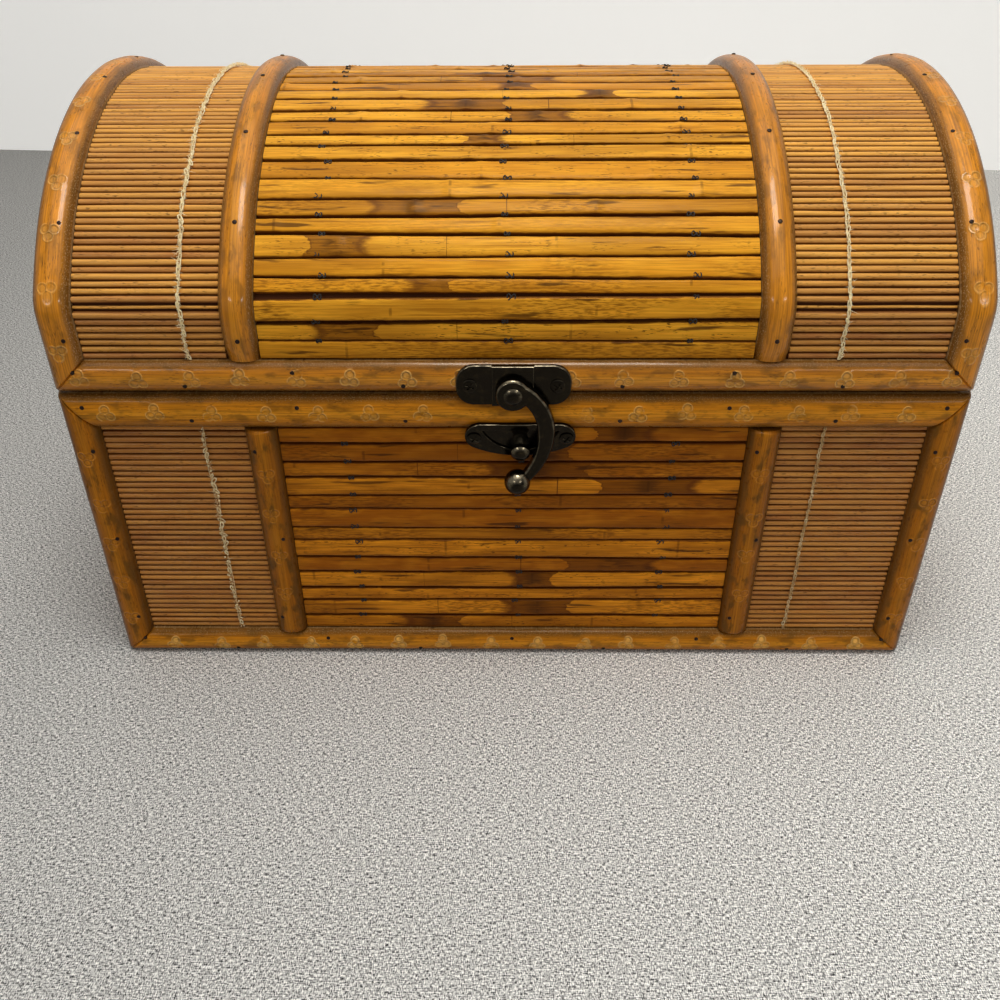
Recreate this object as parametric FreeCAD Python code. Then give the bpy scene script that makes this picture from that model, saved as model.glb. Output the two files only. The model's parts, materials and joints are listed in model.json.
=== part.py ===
import FreeCAD, Part
import math
import os

V = FreeCAD.Vector
X, Y, Z = V(1, 0, 0), V(0, 1, 0), V(0, 0, 1)

# Overall sizes in millimetres, measured over the trims
trunk_width = 330.0
trunk_depth = 218.0
body_height = 124.0
rim_gap = 1.0
lid_wall_height = 31.5
dome_rise = 53.4
bend_radius = 10.0

# Boards
wall_thickness = 6.0
floor_thickness = 5.0
skin_thickness = 3.0
board_gap = 0.05

# Half-round trims
trim_thickness = 6.2
trim_edge = 2.6
top_rail_width = 14.0
bottom_rail_width = 11.0
stile_width = 12.0
strap_width = 12.0
strap_centre = 93.2
lid_strap_shift = -2.2
lid_rail_width = 12.0
band_width = 12.5

# Split slats, thin sticks and the yarn sewn over the sticks
slat_pitch = 7.4
slat_gap = 0.35
slat_thickness = 2.2
slat_edge = 1.4
slat_chamfer = 0.9
stick_pitch = 2.53
stick_gap = 0.2
stick_thickness = 2.0
stick_crown_share = 0.5
panel_clearance = 0.2
yarn_centre = 115.0
yarn_width = 2.2
yarn_thickness = 0.7
yarn_clearance = 0.05

# Brads through the trims
nail_size = 1.3
nail_proud = 0.15
nail_pitch = 38.0
nail_end = 9.0
nail_offset = 2.6
nail_in_board = 4.0
nail_in_skin = 2.4

# Butt hinges let into the rims
hinge_centre = 95.0
hinge_width = 30.0
hinge_inset = 3.2
leaf_thickness = 0.9
leaf_gap = 0.1
leaf_margin = 0.6
barrel_radius = 2.2
barrel_clearance = 0.4
pin_radius = 1.0
pin_clearance = 0.05
knuckle_gap = 0.2
middle_knuckle_share = 0.36
recess_clearance = 0.2
hinge_screw_radius = 1.0
hinge_screw_head = 1.8
hinge_screw_length = 7.0
hinge_screw_share = 0.33

# Swing hook latch
latch_centre = 0.3
latch_plate_width = 41.0
latch_plate_height = 15.6
latch_plate_thickness = 1.5
latch_plate_corner = 6.4
latch_plate_round = 0.7
latch_plate_drop = 1.7
latch_land_depth = 0.6
bridge_width = 15.0
bridge_thickness = 0.9
bridge_round = 0.5
pivot_side = -0.3
pivot_drop = 2.1
boss_radius = 6.2
hook_thickness = 3.4
hook_edge = 1.5
hook_clearance = 0.2
arm_width = 6.4
arm_end_width = 4.0
arm_section_count = 7
arm_reach = 12.2
waist_above_post = 6.8
upper_arm_radius = 19.0
upper_arm_angle = 64.0
lower_arm_radius = 29.7
lower_arm_angle = 43.6
ball_radius = 4.9
ball_rise = 2.0
ball_side = 2.2
ball_drop = 0.8
rivet_radius = 2.0
rivet_head_radius = 3.3
rivet_head_height = 1.2
plate_screw_radius = 1.4
plate_screw_head = 2.6
plate_screw_head_height = 0.8
plate_screw_length = 9.0
plate_screw_side = 15.6

# Keeper of the latch, which leans on the top rail
keeper_centre = 2.8
keeper_width = 40.8
keeper_height = 15.6
keeper_thickness = 1.6
keeper_round = 0.5
keeper_lobe = 5.6
keeper_lobe_drop = 6.4
keeper_lobe_angle = 60.0
keeper_foot_drop = 11.6
keeper_screw_side = 17.0
keeper_gap = 0.05
pocket_depth = 0.9
pocket_half = 13.8
pocket_top_drop = 3.0
pocket_foot = 3.1
post_rise = 7.0
post_neck_radius = 2.5
post_head_radius = 3.5
post_length = 8.6
post_neck_share = 0.45
post_head_share = 0.8

# One overrun serves every cut
overrun = 2.0

# Turns in degrees
full_turn = 360
half_turn = 180
quarter_turn = 90
eighth_turn = 45

# Sizes that follow from those above
half_width = trunk_width / 2 - trim_thickness
half_depth = trunk_depth / 2 - trim_thickness
lid_rim = body_height + rim_gap
kink_height = lid_rim + lid_wall_height
dome_radius = (half_depth ** 2 + dome_rise ** 2) / (2 * dome_rise)
dome_centre_height = kink_height + dome_rise - dome_radius
bend_centre_depth = half_depth - bend_radius
bend_start = dome_centre_height + math.sqrt(
    (dome_radius - bend_radius) ** 2 - bend_centre_depth ** 2
)
dome_half_angle = math.atan2(bend_centre_depth, bend_start - dome_centre_height)
bend_angle = math.pi / 2 - dome_half_angle
lid_rail_top = lid_rim + lid_rail_width
wall_run = bend_start - lid_rail_top
bend_run = bend_radius * bend_angle
dome_run = dome_radius * dome_half_angle * 2
path_run = (wall_run + bend_run) * 2 + dome_run
hinge_depth = trunk_depth / 2 - hinge_inset
hinge_height = body_height + rim_gap / 2
field_top = body_height - top_rail_width
strap_inner = strap_centre - strap_width / 2
strap_outer = strap_centre + strap_width / 2
stile_inner = trunk_width / 2 - stile_width
half_share = 0.5


class Panel:
    """A flat face of the trunk: across and up lie in it, out points away from it."""

    def __init__(self, origin, across, up):
        self.origin = origin
        self.across = across
        self.up = up
        self.out = across.cross(up)

    def at(self, u, w, v=0):
        return self.origin + self.across * u + self.up * w + self.out * v


front_panel = Panel(V(0, -half_depth, 0), X, Z)
back_panel = Panel(V(0, half_depth, 0), -X, Z)
left_panel = Panel(V(-half_width, 0, 0), -Y, Z)
right_panel = Panel(V(half_width, 0, 0), Y, Z)


def block(low, high):
    """A box between two opposite corners."""
    size = high - low
    return Part.makeBox(size.x, size.y, size.z, low)


def prism(points, along):
    """A straight solid over a flat outline of straight sides."""
    return Part.Face(Part.makePolygon(points + points[:1])).extrude(along)


def line(a, b):
    return Part.LineSegment(a, b).toShape()


def arc(a, middle, b):
    return Part.Arc(a, middle, b).toShape()


def crown_radius(width):
    """Radius of the arc over a trim of this width."""
    rise = trim_thickness - trim_edge
    return (width ** 2 / 4 + rise ** 2) / (2 * rise)


def crown_height(width, offset):
    """How far a trim stands off its board at an offset from its middle line."""
    radius = crown_radius(width)
    return trim_thickness - radius + math.sqrt(radius ** 2 - offset ** 2)


def half_round(origin, across, out, width):
    """Section of a trim: a flat back, two short sides and one arc for the crown."""
    side = across * (width / 2)
    left, right = origin - side, origin + side
    shoulder = out * trim_edge
    edges = [
        line(left, right),
        line(right, right + shoulder),
        arc(right + shoulder, origin + out * trim_thickness, left + shoulder),
        line(left + shoulder, left),
    ]
    return Part.Face(Part.Wire(edges))


def trim_bar(panel, start, end, width):
    """A straight trim on a panel, between two places (u, w) of its middle line."""
    a, b = panel.at(*start), panel.at(*end)
    run = b - a
    across = run.cross(panel.out).normalize()
    return half_round(a, across, panel.out, width).extrude(run)


def mitre_prism(panel, outer, inner):
    """The space between two mitre lines, which run from outer to inner corners and a little past them."""
    lines = []
    for a, b in zip(outer, inner):
        step = (b[0] - a[0], b[1] - a[1])
        share = overrun / math.hypot(*step)
        first = (a[0] - step[0] * share, a[1] - step[1] * share)
        last = (b[0] + step[0] * share, b[1] + step[1] * share)
        lines.append((panel.at(*first, -overrun), panel.at(*last, -overrun)))
    points = [lines[0][0], lines[1][0], lines[1][1], lines[0][1]]
    return prism(points, panel.out * (trim_thickness + overrun * 2))


def mitred_frame(panel, half, height):
    """Top rail, bottom rail, left stile and right stile round a panel, mitred like a picture frame."""
    outer = [(-half, 0), (half, 0), (half, height), (-half, height)]
    side, top, bottom = half - stile_width, height - top_rail_width, bottom_rail_width
    inner = [(-side, bottom), (side, bottom), (side, top), (-side, top)]
    middle_top = height - top_rail_width / 2
    middle_bottom = bottom_rail_width / 2
    middle_side = half - stile_width / 2
    members = [
        (3, 2, (-half, middle_top), (half, middle_top), top_rail_width),
        (0, 1, (-half, middle_bottom), (half, middle_bottom), bottom_rail_width),
        (0, 3, (-middle_side, 0), (-middle_side, height), stile_width),
        (1, 2, (middle_side, 0), (middle_side, height), stile_width),
    ]
    bars = []
    for i, j, start, end, width in members:
        bar = trim_bar(panel, start, end, width)
        cutter = mitre_prism(panel, (outer[i], outer[j]), (inner[i], inner[j]))
        bars.append(bar.common(cutter))
    return bars


def slat_section(width):
    """Outline of a slat as (offset, height): a flat back and chamfered upper edges."""
    half = width / 2
    top = half - slat_chamfer
    right = [(half, 0), (half, slat_edge), (top, slat_thickness)]
    left = [(-top, slat_thickness), (-half, slat_edge), (-half, 0)]
    return right + left


def stick_section(width):
    """Outline of a thin stick: a flat back under a narrow crown."""
    half = width / 2
    top = half * stick_crown_share
    return [(-half, 0), (half, 0), (top, stick_thickness), (-top, stick_thickness)]


def flat_row(panel, section, pitch, gap, left, right):
    """Slats or sticks laid level on a body panel, one above another between its rails."""
    count = max(1, round((field_top - bottom_rail_width) / pitch))
    step = (field_top - bottom_rail_width) / count
    run = panel.across * (right - left)
    row = []
    for i in range(count):
        middle = bottom_rail_width + step * (i + half_share)
        points = [panel.at(left, middle + a, h) for a, h in section(step - gap)]
        row.append(prism(points, run))
    return row


def stick_row(panel, left, right):
    return flat_row(panel, stick_section, stick_pitch, stick_gap, left, right)


def path_place(run):
    """Point and outward direction on the lid's boards, at a run from the front rail over the dome."""
    if run > path_run / 2:
        point, out = path_place(path_run - run)
        return V(point.x, -point.y, point.z), V(out.x, -out.y, out.z)
    if run <= wall_run:
        return V(0, -half_depth, lid_rail_top + run), -Y
    if run <= wall_run + bend_run:
        angle = (run - wall_run) / bend_radius
        out = V(0, -math.cos(angle), math.sin(angle))
        return V(0, -bend_centre_depth, bend_start) + out * bend_radius, out
    angle = bend_angle + (run - wall_run - bend_run) / dome_radius
    out = V(0, -math.cos(angle), math.sin(angle))
    return V(0, 0, dome_centre_height) + out * dome_radius, out


def dome_row(section, pitch, gap, left, right):
    """Slats or sticks laid side by side from the lid's front rail over the dome to its back rail."""
    count = max(1, round(path_run / pitch))
    step = path_run / count
    row = []
    for i in range(count):
        point, out = path_place(step * (i + half_share))
        along = out.cross(X)
        points = [point + X * left + along * a + out * h for a, h in section(step - gap)]
        row.append(prism(points, X * (right - left)))
    return row


def over_dome(face, start):
    """Carries a level section from a height on the front wall up, over the dome and down the back."""
    turn = math.degrees(bend_angle)
    stages = [(V(0, -bend_centre_depth, bend_start), turn)]
    stages.append((V(0, 0, dome_centre_height), math.degrees(dome_half_angle) * 2))
    stages.append((V(0, bend_centre_depth, bend_start), turn))
    rise = Z * (bend_start - start)
    pieces = []
    if rise.Length > 0:
        pieces.append(face.extrude(rise))
    face = face.translated(rise)
    for centre, angle in stages:
        pieces.append(face.revolve(centre, -X, angle))
        face = face.copy()
        face.rotate(centre, -X, angle)
    if rise.Length > 0:
        pieces.append(face.extrude(-rise))
    return pieces[0].fuse(pieces[1:]).removeSplitter()


def strip(left, right, inner, outer, height):
    """A flat section between two sides and two distances from the front wall's board face, at a height."""
    corners = [(left, inner), (right, inner), (right, outer), (left, outer)]
    points = [V(x, -half_depth - v, height) for x, v in corners]
    return Part.Face(Part.makePolygon(points + points[:1]))


def half_depth_at(height):
    """Half the depth of the lid's boards at a height."""
    if height <= bend_start:
        return half_depth
    rise = height - bend_start
    bend_top = bend_radius * math.sin(bend_angle)
    if rise <= bend_top:
        return bend_centre_depth + math.sqrt(bend_radius ** 2 - rise ** 2)
    return math.sqrt(max(0, dome_radius ** 2 - (height - dome_centre_height) ** 2))


def screw(point, along, radius, head_radius, head_height, length):
    """A pan-head screw: the head's underside is at the point, and the shank runs along."""
    head = Part.makeCylinder(head_radius, head_height, point - along * head_height, along)
    return head.fuse(Part.makeCylinder(radius, length, point, along)).removeSplitter()


def mirrored(shape):
    """The same shape on the trunk's other end."""
    return shape.mirror(V(0, 0, 0), X)


# Carcass of the body
def body_boards():
    inner_width = half_width - wall_thickness
    inner_depth = half_depth - wall_thickness
    front = block(V(-half_width, -half_depth, 0), V(half_width, -inner_depth, body_height))
    back = block(V(-half_width, inner_depth, 0), V(half_width, half_depth, body_height))
    right = block(V(inner_width, -inner_depth, 0), V(half_width, inner_depth, body_height))
    floor = block(V(-inner_width, -inner_depth, 0), V(inner_width, inner_depth, floor_thickness))
    return {
        "floor_board": floor,
        "front_board": front,
        "back_board": back,
        "left_end_board": mirrored(right),
        "right_end_board": right,
    }


# Trims, slats, sticks and yarn on a long side of the body
def long_side(panel):
    frame = mitred_frame(panel, trunk_width / 2, body_height)
    straps = [
        trim_bar(panel, (place, bottom_rail_width), (place, field_top), strap_width)
        for place in (-strap_centre, strap_centre)
    ]
    edge = strap_inner - panel_clearance
    slats = flat_row(panel, slat_section, slat_pitch, slat_gap, -edge, edge)
    near, far = strap_outer + panel_clearance, stile_inner - panel_clearance
    sticks = [stick_row(panel, -far, -near), stick_row(panel, near, far)]
    yarn = []
    for side in (-1, 1):
        low = side * yarn_centre - yarn_width / 2
        bottom = bottom_rail_width + panel_clearance
        foot = stick_thickness + yarn_clearance
        corners = [(low, foot), (low + yarn_width, foot)]
        corners += [(low + yarn_width, foot + yarn_thickness), (low, foot + yarn_thickness)]
        points = [panel.at(u, bottom, v) for u, v in corners]
        yarn.append(prism(points, panel.up * (field_top - panel_clearance - bottom)))
    return frame, straps, slats, sticks, yarn


# Trims and sticks on an end of the body
def body_end(panel):
    frame = mitred_frame(panel, half_depth, body_height)
    edge = half_depth - stile_width - panel_clearance
    sticks = stick_row(panel, -edge, edge)
    return frame, sticks


# Carcass of the lid
def lid_boards():
    inner_depth = half_depth - wall_thickness
    front = block(V(-half_width, -half_depth, lid_rim), V(half_width, -inner_depth, bend_start))
    back = block(V(-half_width, inner_depth, lid_rim), V(half_width, half_depth, bend_start))
    skin = over_dome(strip(-half_width, half_width, -skin_thickness, 0, bend_start), bend_start)
    right = lid_end_board()
    return {
        "lid_front_board": front,
        "lid_back_board": back,
        "lid_left_end_board": mirrored(right),
        "lid_right_end_board": right,
        "lid_dome_skin": skin,
    }


def lid_end_board():
    """A D-shaped board between the lid's front and back boards, under the bent skin."""
    edge = half_depth - wall_thickness - board_gap
    bend_inner = bend_radius - skin_thickness - board_gap
    dome_inner = dome_radius - skin_thickness - board_gap
    x = half_width - wall_thickness
    shoulder = bend_start + math.sqrt(bend_inner ** 2 - (edge - bend_centre_depth) ** 2)
    first = math.atan2(shoulder - bend_start, edge - bend_centre_depth)

    def on_bend(angle, side):
        depth = bend_centre_depth + bend_inner * math.cos(angle)
        return V(x, side * depth, bend_start + bend_inner * math.sin(angle))

    corner = {side: V(x, side * edge, shoulder) for side in (-1, 1)}
    meet = {side: on_bend(bend_angle, side) for side in (-1, 1)}
    half_way = {side: on_bend((first + bend_angle) / 2, side) for side in (-1, 1)}
    foot = {side: V(x, side * edge, lid_rim) for side in (-1, 1)}
    edges = [
        line(foot[-1], corner[-1]),
        arc(corner[-1], half_way[-1], meet[-1]),
        arc(meet[-1], V(x, 0, dome_centre_height + dome_inner), meet[1]),
        arc(meet[1], half_way[1], corner[1]),
        line(corner[1], foot[1]),
        line(foot[1], foot[-1]),
    ]
    return Part.Face(Part.Wire(edges)).extrude(X * wall_thickness)


# Trims, slats, sticks and yarn of the lid
def lid_rail(panel):
    """Front or back rail of the lid, mitred into the bands at its ends."""
    half = trunk_width / 2
    inner = half - band_width
    middle = lid_rim + lid_rail_width / 2
    bar = trim_bar(panel, (-half, middle), (half, middle), lid_rail_width)
    outer_corners = ((-half, lid_rim), (half, lid_rim))
    inner_corners = ((-inner, lid_rail_top), (inner, lid_rail_top))
    return bar.common(mitre_prism(panel, outer_corners, inner_corners))


def lid_band():
    """The right end band: one bent trim from rim to rim over the dome, mitred at both feet."""
    half = trunk_width / 2
    middle = V(half - band_width / 2, -half_depth, lid_rim)
    band = over_dome(half_round(middle, X, -Y, band_width), lid_rim)
    slope = lid_rail_width / band_width
    top_x = half - band_width - overrun
    points = [(half, lid_rim), (top_x, lid_rim + (half - top_x) * slope), (top_x, lid_rim - overrun)]
    points.append((half, lid_rim - overrun))
    reach = half_depth + trim_thickness + overrun
    cutter = prism([V(x, -reach, z) for x, z in points], Y * (reach * 2))
    return band.cut(cutter)


def lid_strap(centre):
    """A strap over the dome, standing on the front and back rails."""
    foot = V(centre, -half_depth, lid_rail_top)
    return over_dome(half_round(foot, X, -Y, strap_width), lid_rail_top)


def lid_end_rail():
    middle = lid_rim + lid_rail_width / 2
    return trim_bar(right_panel, (-half_depth, middle), (half_depth, middle), lid_rail_width)


def lid_end_sticks(panel):
    """Sticks of the D-shaped end panel, each cut to the dome's curve."""
    top = dome_centre_height + dome_radius
    count = max(1, round((top - lid_rail_top) / stick_pitch))
    step = (top - lid_rail_top) / count
    row = []
    for i in range(count):
        middle = lid_rail_top + step * (i + half_share)
        edge = half_depth_at(middle + step / 2 - stick_gap / 2) - panel_clearance
        if edge > stick_pitch:
            points = [panel.at(-edge, middle + a, h) for a, h in stick_section(step - stick_gap)]
            row.append(prism(points, panel.across * (edge * 2)))
    return row


def lid_yarn():
    """One sewn line over the right side of the dome."""
    foot = stick_thickness + yarn_clearance
    start = lid_rail_top + panel_clearance
    low = yarn_centre - yarn_width / 2
    return over_dome(strip(low, low + yarn_width, foot, foot + yarn_thickness, start), start)


# Brads
def brad(foot, out, along, depth, height):
    """A square brad from a depth under the board's face to just above the trim."""
    side = out.cross(along) * (nail_size / 2)
    edge = along * (nail_size / 2)
    base = foot - out * depth
    points = [base - side - edge, base + side - edge, base + side + edge, base - side + edge]
    return prism(points, out * (depth + height + nail_proud))


def nail_runs(length):
    """Places of the brads along a trim of this length."""
    count = max(2, round((length - nail_end * 2) / nail_pitch) + 1)
    step = (length - nail_end * 2) / (count - 1)
    return [nail_end + step * i for i in range(count)]


def bar_nails(panel, start, end, width, keep_clear=None):
    """Brads along a straight trim, by turns on either side of its middle line."""
    a, b = panel.at(*start), panel.at(*end)
    along = (b - a).normalize()
    across = along.cross(panel.out)
    nails = []
    for i, run in enumerate(nail_runs((b - a).Length)):
        offset = nail_offset if i % 2 else -nail_offset
        foot = a + along * run + across * offset
        if keep_clear is None or not keep_clear[0] < foot.x < keep_clear[1]:
            nails.append(brad(foot, panel.out, along, nail_in_board, crown_height(width, offset)))
    return nails


def frame_nails(panel, half, height, keep_clear=None):
    """Brads of a mitred frame. The stiles' brads stay on the inner side of their middle lines."""
    middle_top = height - top_rail_width / 2
    middle_bottom = bottom_rail_width / 2
    nails = bar_nails(panel, (-half, middle_top), (half, middle_top), top_rail_width, keep_clear)
    nails += bar_nails(panel, (-half, middle_bottom), (half, middle_bottom), bottom_rail_width)
    inner = half - stile_width / 2 - nail_offset
    stand = crown_height(stile_width, nail_offset)
    for side in (-1, 1):
        for run in nail_runs(height - top_rail_width - bottom_rail_width):
            foot = panel.at(side * inner, bottom_rail_width + run)
            nails.append(brad(foot, panel.out, panel.up, nail_in_board, stand))
    return nails


def path_nails(side, offset, width, depth):
    """Brads along a trim over the dome, at a side place and an offset from its middle line."""
    nails = []
    for run in nail_runs(path_run):
        point, out = path_place(run)
        nails.append(brad(point + X * side, out, X, depth, crown_height(width, offset)))
    return nails


def body_nails():
    reach = keeper_width / 2 + nail_size
    clear = (keeper_centre - reach, keeper_centre + reach)
    nails = frame_nails(front_panel, trunk_width / 2, body_height, clear)
    nails += frame_nails(back_panel, trunk_width / 2, body_height)
    for panel in (left_panel, right_panel):
        nails += frame_nails(panel, half_depth, body_height)
    for panel in (front_panel, back_panel):
        for side in (-strap_centre, strap_centre):
            nails += bar_nails(panel, (side, bottom_rail_width), (side, field_top), strap_width)
    return nails


def lid_nails():
    reach = latch_plate_width / 2 + nail_size
    clear = (latch_centre - reach, latch_centre + reach)
    middle = lid_rim + lid_rail_width / 2
    half = trunk_width / 2
    nails = bar_nails(front_panel, (-half, middle), (half, middle), lid_rail_width, clear)
    nails += bar_nails(back_panel, (-half, middle), (half, middle), lid_rail_width)
    for panel in (left_panel, right_panel):
        nails += bar_nails(panel, (-half_depth, middle), (half_depth, middle), lid_rail_width)
    band_line = half - band_width / 2 - nail_offset
    for side in (-1, 1):
        nails += path_nails(side * band_line, nail_offset, band_width, nail_in_board)
        nails += path_nails(side * strap_centre + lid_strap_shift, 0, strap_width, nail_in_skin)
    return nails


# Hinges
leaf_reach = hinge_depth - (half_depth - wall_thickness) - leaf_margin
middle_knuckle = hinge_width * middle_knuckle_share
screw_depth = half_depth - wall_thickness / 2


def barrel(low, high, radius):
    """A cylinder round the hinge axis between two places along it."""
    return Part.makeCylinder(radius, high - low, V(low, hinge_depth, hinge_height), X)


def hinge_screw(x, direction):
    """A countersunk screw whose head is flush with the leaf, pointing down or up from the hinge plane."""
    face = V(x, screw_depth, hinge_height + direction * leaf_gap / 2)
    cone = Part.makeCone(hinge_screw_head, hinge_screw_radius, leaf_thickness, face, Z * direction)
    shank_foot = face + Z * (direction * leaf_thickness)
    shank = Part.makeCylinder(hinge_screw_radius, hinge_screw_length, shank_foot, Z * direction)
    return cone.fuse(shank).removeSplitter()


def hinge_leaf(x, direction, knuckles, free_knuckles):
    """A leaf with its knuckles, cut back round the other leaf's knuckles and bored for the pin."""
    near = hinge_height + direction * leaf_gap / 2
    far = near + direction * leaf_thickness
    low = V(x - hinge_width / 2, hinge_depth - leaf_reach, min(near, far))
    high = V(x + hinge_width / 2, hinge_depth, max(near, far))
    leaf = block(low, high).fuse([barrel(a, b, barrel_radius) for a, b in knuckles]).removeSplitter()
    for a, b in free_knuckles:
        leaf = leaf.cut(barrel(a - knuckle_gap, b + knuckle_gap, barrel_radius + barrel_clearance))
    leaf = leaf.cut(barrel(low.x - overrun, high.x + overrun, pin_radius + pin_clearance))
    for side in (-1, 1):
        leaf = leaf.cut(hinge_screw(x + side * hinge_width * hinge_screw_share, direction))
    return leaf


def hinges():
    lower, upper, pins, lower_screws, upper_screws = [], [], [], [], []
    for x in (-hinge_centre, hinge_centre):
        low, high = x - hinge_width / 2, x + hinge_width / 2
        middle = (x - middle_knuckle / 2, x + middle_knuckle / 2)
        outer = [(low, middle[0] - knuckle_gap), (middle[1] + knuckle_gap, high)]
        lower.append(hinge_leaf(x, -1, outer, [middle]))
        upper.append(hinge_leaf(x, 1, [middle], outer))
        pins.append(barrel(low, high, pin_radius))
        for side in (-1, 1):
            place = x + side * hinge_width * hinge_screw_share
            lower_screws.append(hinge_screw(place, -1))
            upper_screws.append(hinge_screw(place, 1))
    return lower, upper, pins, lower_screws, upper_screws


def hinge_recesses(direction):
    """What is cut from a rim for the leaves and barrels: below the hinge plane or above it."""
    cuts = []
    floor = hinge_height + direction * (leaf_gap / 2 + leaf_thickness)
    open_side = hinge_height - direction * (rim_gap / 2 + overrun)
    for x in (-hinge_centre, hinge_centre):
        low, high = x - hinge_width / 2 - recess_clearance, x + hinge_width / 2 + recess_clearance
        bottom, top = min(floor, open_side), max(floor, open_side)
        inside = hinge_depth - leaf_reach - recess_clearance
        cuts.append(block(V(low, inside, bottom), V(high, hinge_depth, top)))
        cuts.append(barrel(low, high, barrel_radius + barrel_clearance))
    return cuts


# Latch on the lid's front rail
latch_back = trunk_depth / 2 - latch_land_depth
plate_middle = lid_rim + lid_rail_width / 2 - latch_plate_drop
pivot_x = latch_centre + pivot_side
pivot_z = plate_middle - pivot_drop
bridge_face = latch_back + latch_plate_thickness + bridge_thickness
hook_back = bridge_face + hook_clearance


def rounded_plate(low, high, corner, back, thickness):
    """An upright plate with round corners, from a distance in front of the trunk's middle outwards."""
    x0, x1 = low[0], high[0]
    z0, z1 = low[1], high[1]
    centres = [(x0 + corner, z0 + corner), (x1 - corner, z0 + corner)]
    centres += [(x1 - corner, z1 - corner), (x0 + corner, z1 - corner)]
    corners = []
    for i, (x, z) in enumerate(centres):
        angles = [math.radians(quarter_turn * (i + 2) + eighth_turn * k) for k in range(3)]
        corners.append([V(x + corner * math.cos(a), -back, z + corner * math.sin(a)) for a in angles])
    edges = []
    for here, after in zip(corners, corners[1:] + corners[:1]):
        edges.append(arc(*here))
        edges.append(line(here[2], after[0]))
    return Part.Face(Part.Wire(edges)).extrude(-Y * thickness)


def front_rounded(shape, origin, out, height, radius):
    """Rounds the outline of a flat front face, which lies at a height above an origin."""

    def in_front(edge):
        return all(abs((v.Point - origin).dot(out) - height) < board_gap for v in edge.Vertexes)

    return shape.makeFillet(radius, [edge for edge in shape.Edges if in_front(edge)])


def latch_plate():
    half = latch_plate_width / 2
    seat = V(0, -latch_back, 0)
    low, high = plate_middle - latch_plate_height / 2, plate_middle + latch_plate_height / 2
    ends = (latch_centre - half, low), (latch_centre + half, high)
    plate = rounded_plate(*ends, latch_plate_corner, latch_back, latch_plate_thickness)
    plate = front_rounded(plate, seat, -Y, latch_plate_thickness, latch_plate_round)
    bridge_low = V(pivot_x - bridge_width / 2, -bridge_face, low)
    bridge_high = V(pivot_x + bridge_width / 2, -latch_back, high)
    bridge = front_rounded(block(bridge_low, bridge_high), seat, -Y, bridge_face - latch_back, bridge_round)
    plate = plate.fuse(bridge).removeSplitter()
    plate = plate.cut(front_hole(V(pivot_x, -latch_back, pivot_z), rivet_radius + pin_clearance))
    for side in (-1, 1):
        place = V(latch_centre + side * plate_screw_side, -latch_back, plate_middle)
        plate = plate.cut(front_hole(place, plate_screw_radius + pin_clearance))
    return plate


def front_hole(point, radius):
    """A round cut through whatever stands in front of the rail at a point."""
    length = trim_thickness + overrun * 2
    return Part.makeCylinder(radius, length, point + Y * overrun, -Y)


def latch_land():
    """The flat filed on the lid's front rail, where the latch plate seats."""
    half = latch_plate_width / 2 + recess_clearance
    low = V(latch_centre - half, -trunk_depth / 2 - overrun, lid_rim - overrun)
    return block(low, V(latch_centre + half, -latch_back, lid_rail_top + overrun))


def latch_screws():
    face = -latch_back - latch_plate_thickness
    return [
        screw(
            V(latch_centre + side * plate_screw_side, face, plate_middle),
            Y,
            plate_screw_radius,
            plate_screw_head,
            plate_screw_head_height,
            plate_screw_length,
        )
        for side in (-1, 1)
    ]


def latch_rivet():
    """The pivot: a shank through the plate and the hook, with a domed head in front."""
    head_foot = hook_back + hook_thickness + hook_clearance - latch_back
    outline = [(rivet_radius, 0), (rivet_radius, head_foot), (rivet_head_radius, head_foot)]
    foot = V(pivot_x, -latch_back, pivot_z)
    return domed_pin(foot, X, -Y, outline, head_foot + rivet_head_height)


def domed_pin(foot, across, out, outline, top):
    """A turned pin: its outline of (radius, height) from the foot up, closed by a dome of one arc."""
    rim_radius, rim = outline[-1]
    rise = top - rim
    dome = (rim_radius ** 2 + rise ** 2) / (2 * rise)
    half_angle = math.asin(rim_radius / dome) / 2
    bulge = (dome * math.sin(half_angle), top - dome + dome * math.cos(half_angle))
    profile = [(0, 0)] + outline + [bulge, (0, top)]
    points = [foot + across * r + out * h for r, h in profile]
    edges = [line(a, b) for a, b in zip(points[:-3], points[1:-2])]
    edges += [arc(*points[-3:]), line(points[-1], points[0])]
    return Part.Face(Part.Wire(edges)).revolve(foot, out, full_turn)


def hook_section(origin, across, width):
    """Section of the hook: a flat back, and a flat front with round edges."""
    half = width / 2
    lift = hook_thickness - hook_edge
    swell = hook_edge * math.sin(math.radians(eighth_turn))
    flat = half - hook_edge
    right = [(half, 0), (half, lift), (flat + swell, lift + swell), (flat, hook_thickness)]
    left = [(-a, h) for a, h in reversed(right)]
    points = [origin + across * a - Y * h for a, h in right + left]
    edges = [
        line(points[0], points[1]),
        arc(*points[1:4]),
        line(points[3], points[4]),
        arc(*points[4:7]),
        line(points[6], points[7]),
        line(points[7], points[0]),
    ]
    return Part.Face(Part.Wire(edges))


def hook_arm(centre, radius, angle):
    """The upper stretch of the arm: its section turned about a point in the hook's own plane."""
    section = hook_section(centre + X * radius, X, arm_width)
    return section.revolve(centre, -Y, math.degrees(angle))


def hook_taper(centre, radius, angle):
    """The lower stretch of the arm: its section lofted down a bend, ever narrower towards the ball."""
    sections = []
    for step in range(arm_section_count):
        share = step / (arm_section_count - 1)
        across = X * math.cos(angle * share) - Z * math.sin(angle * share)
        width = arm_width + (arm_end_width - arm_width) * share
        sections.append(hook_section(centre + across * radius, across, width).OuterWire)
    return Part.makeLoft(sections, True, False)


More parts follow.
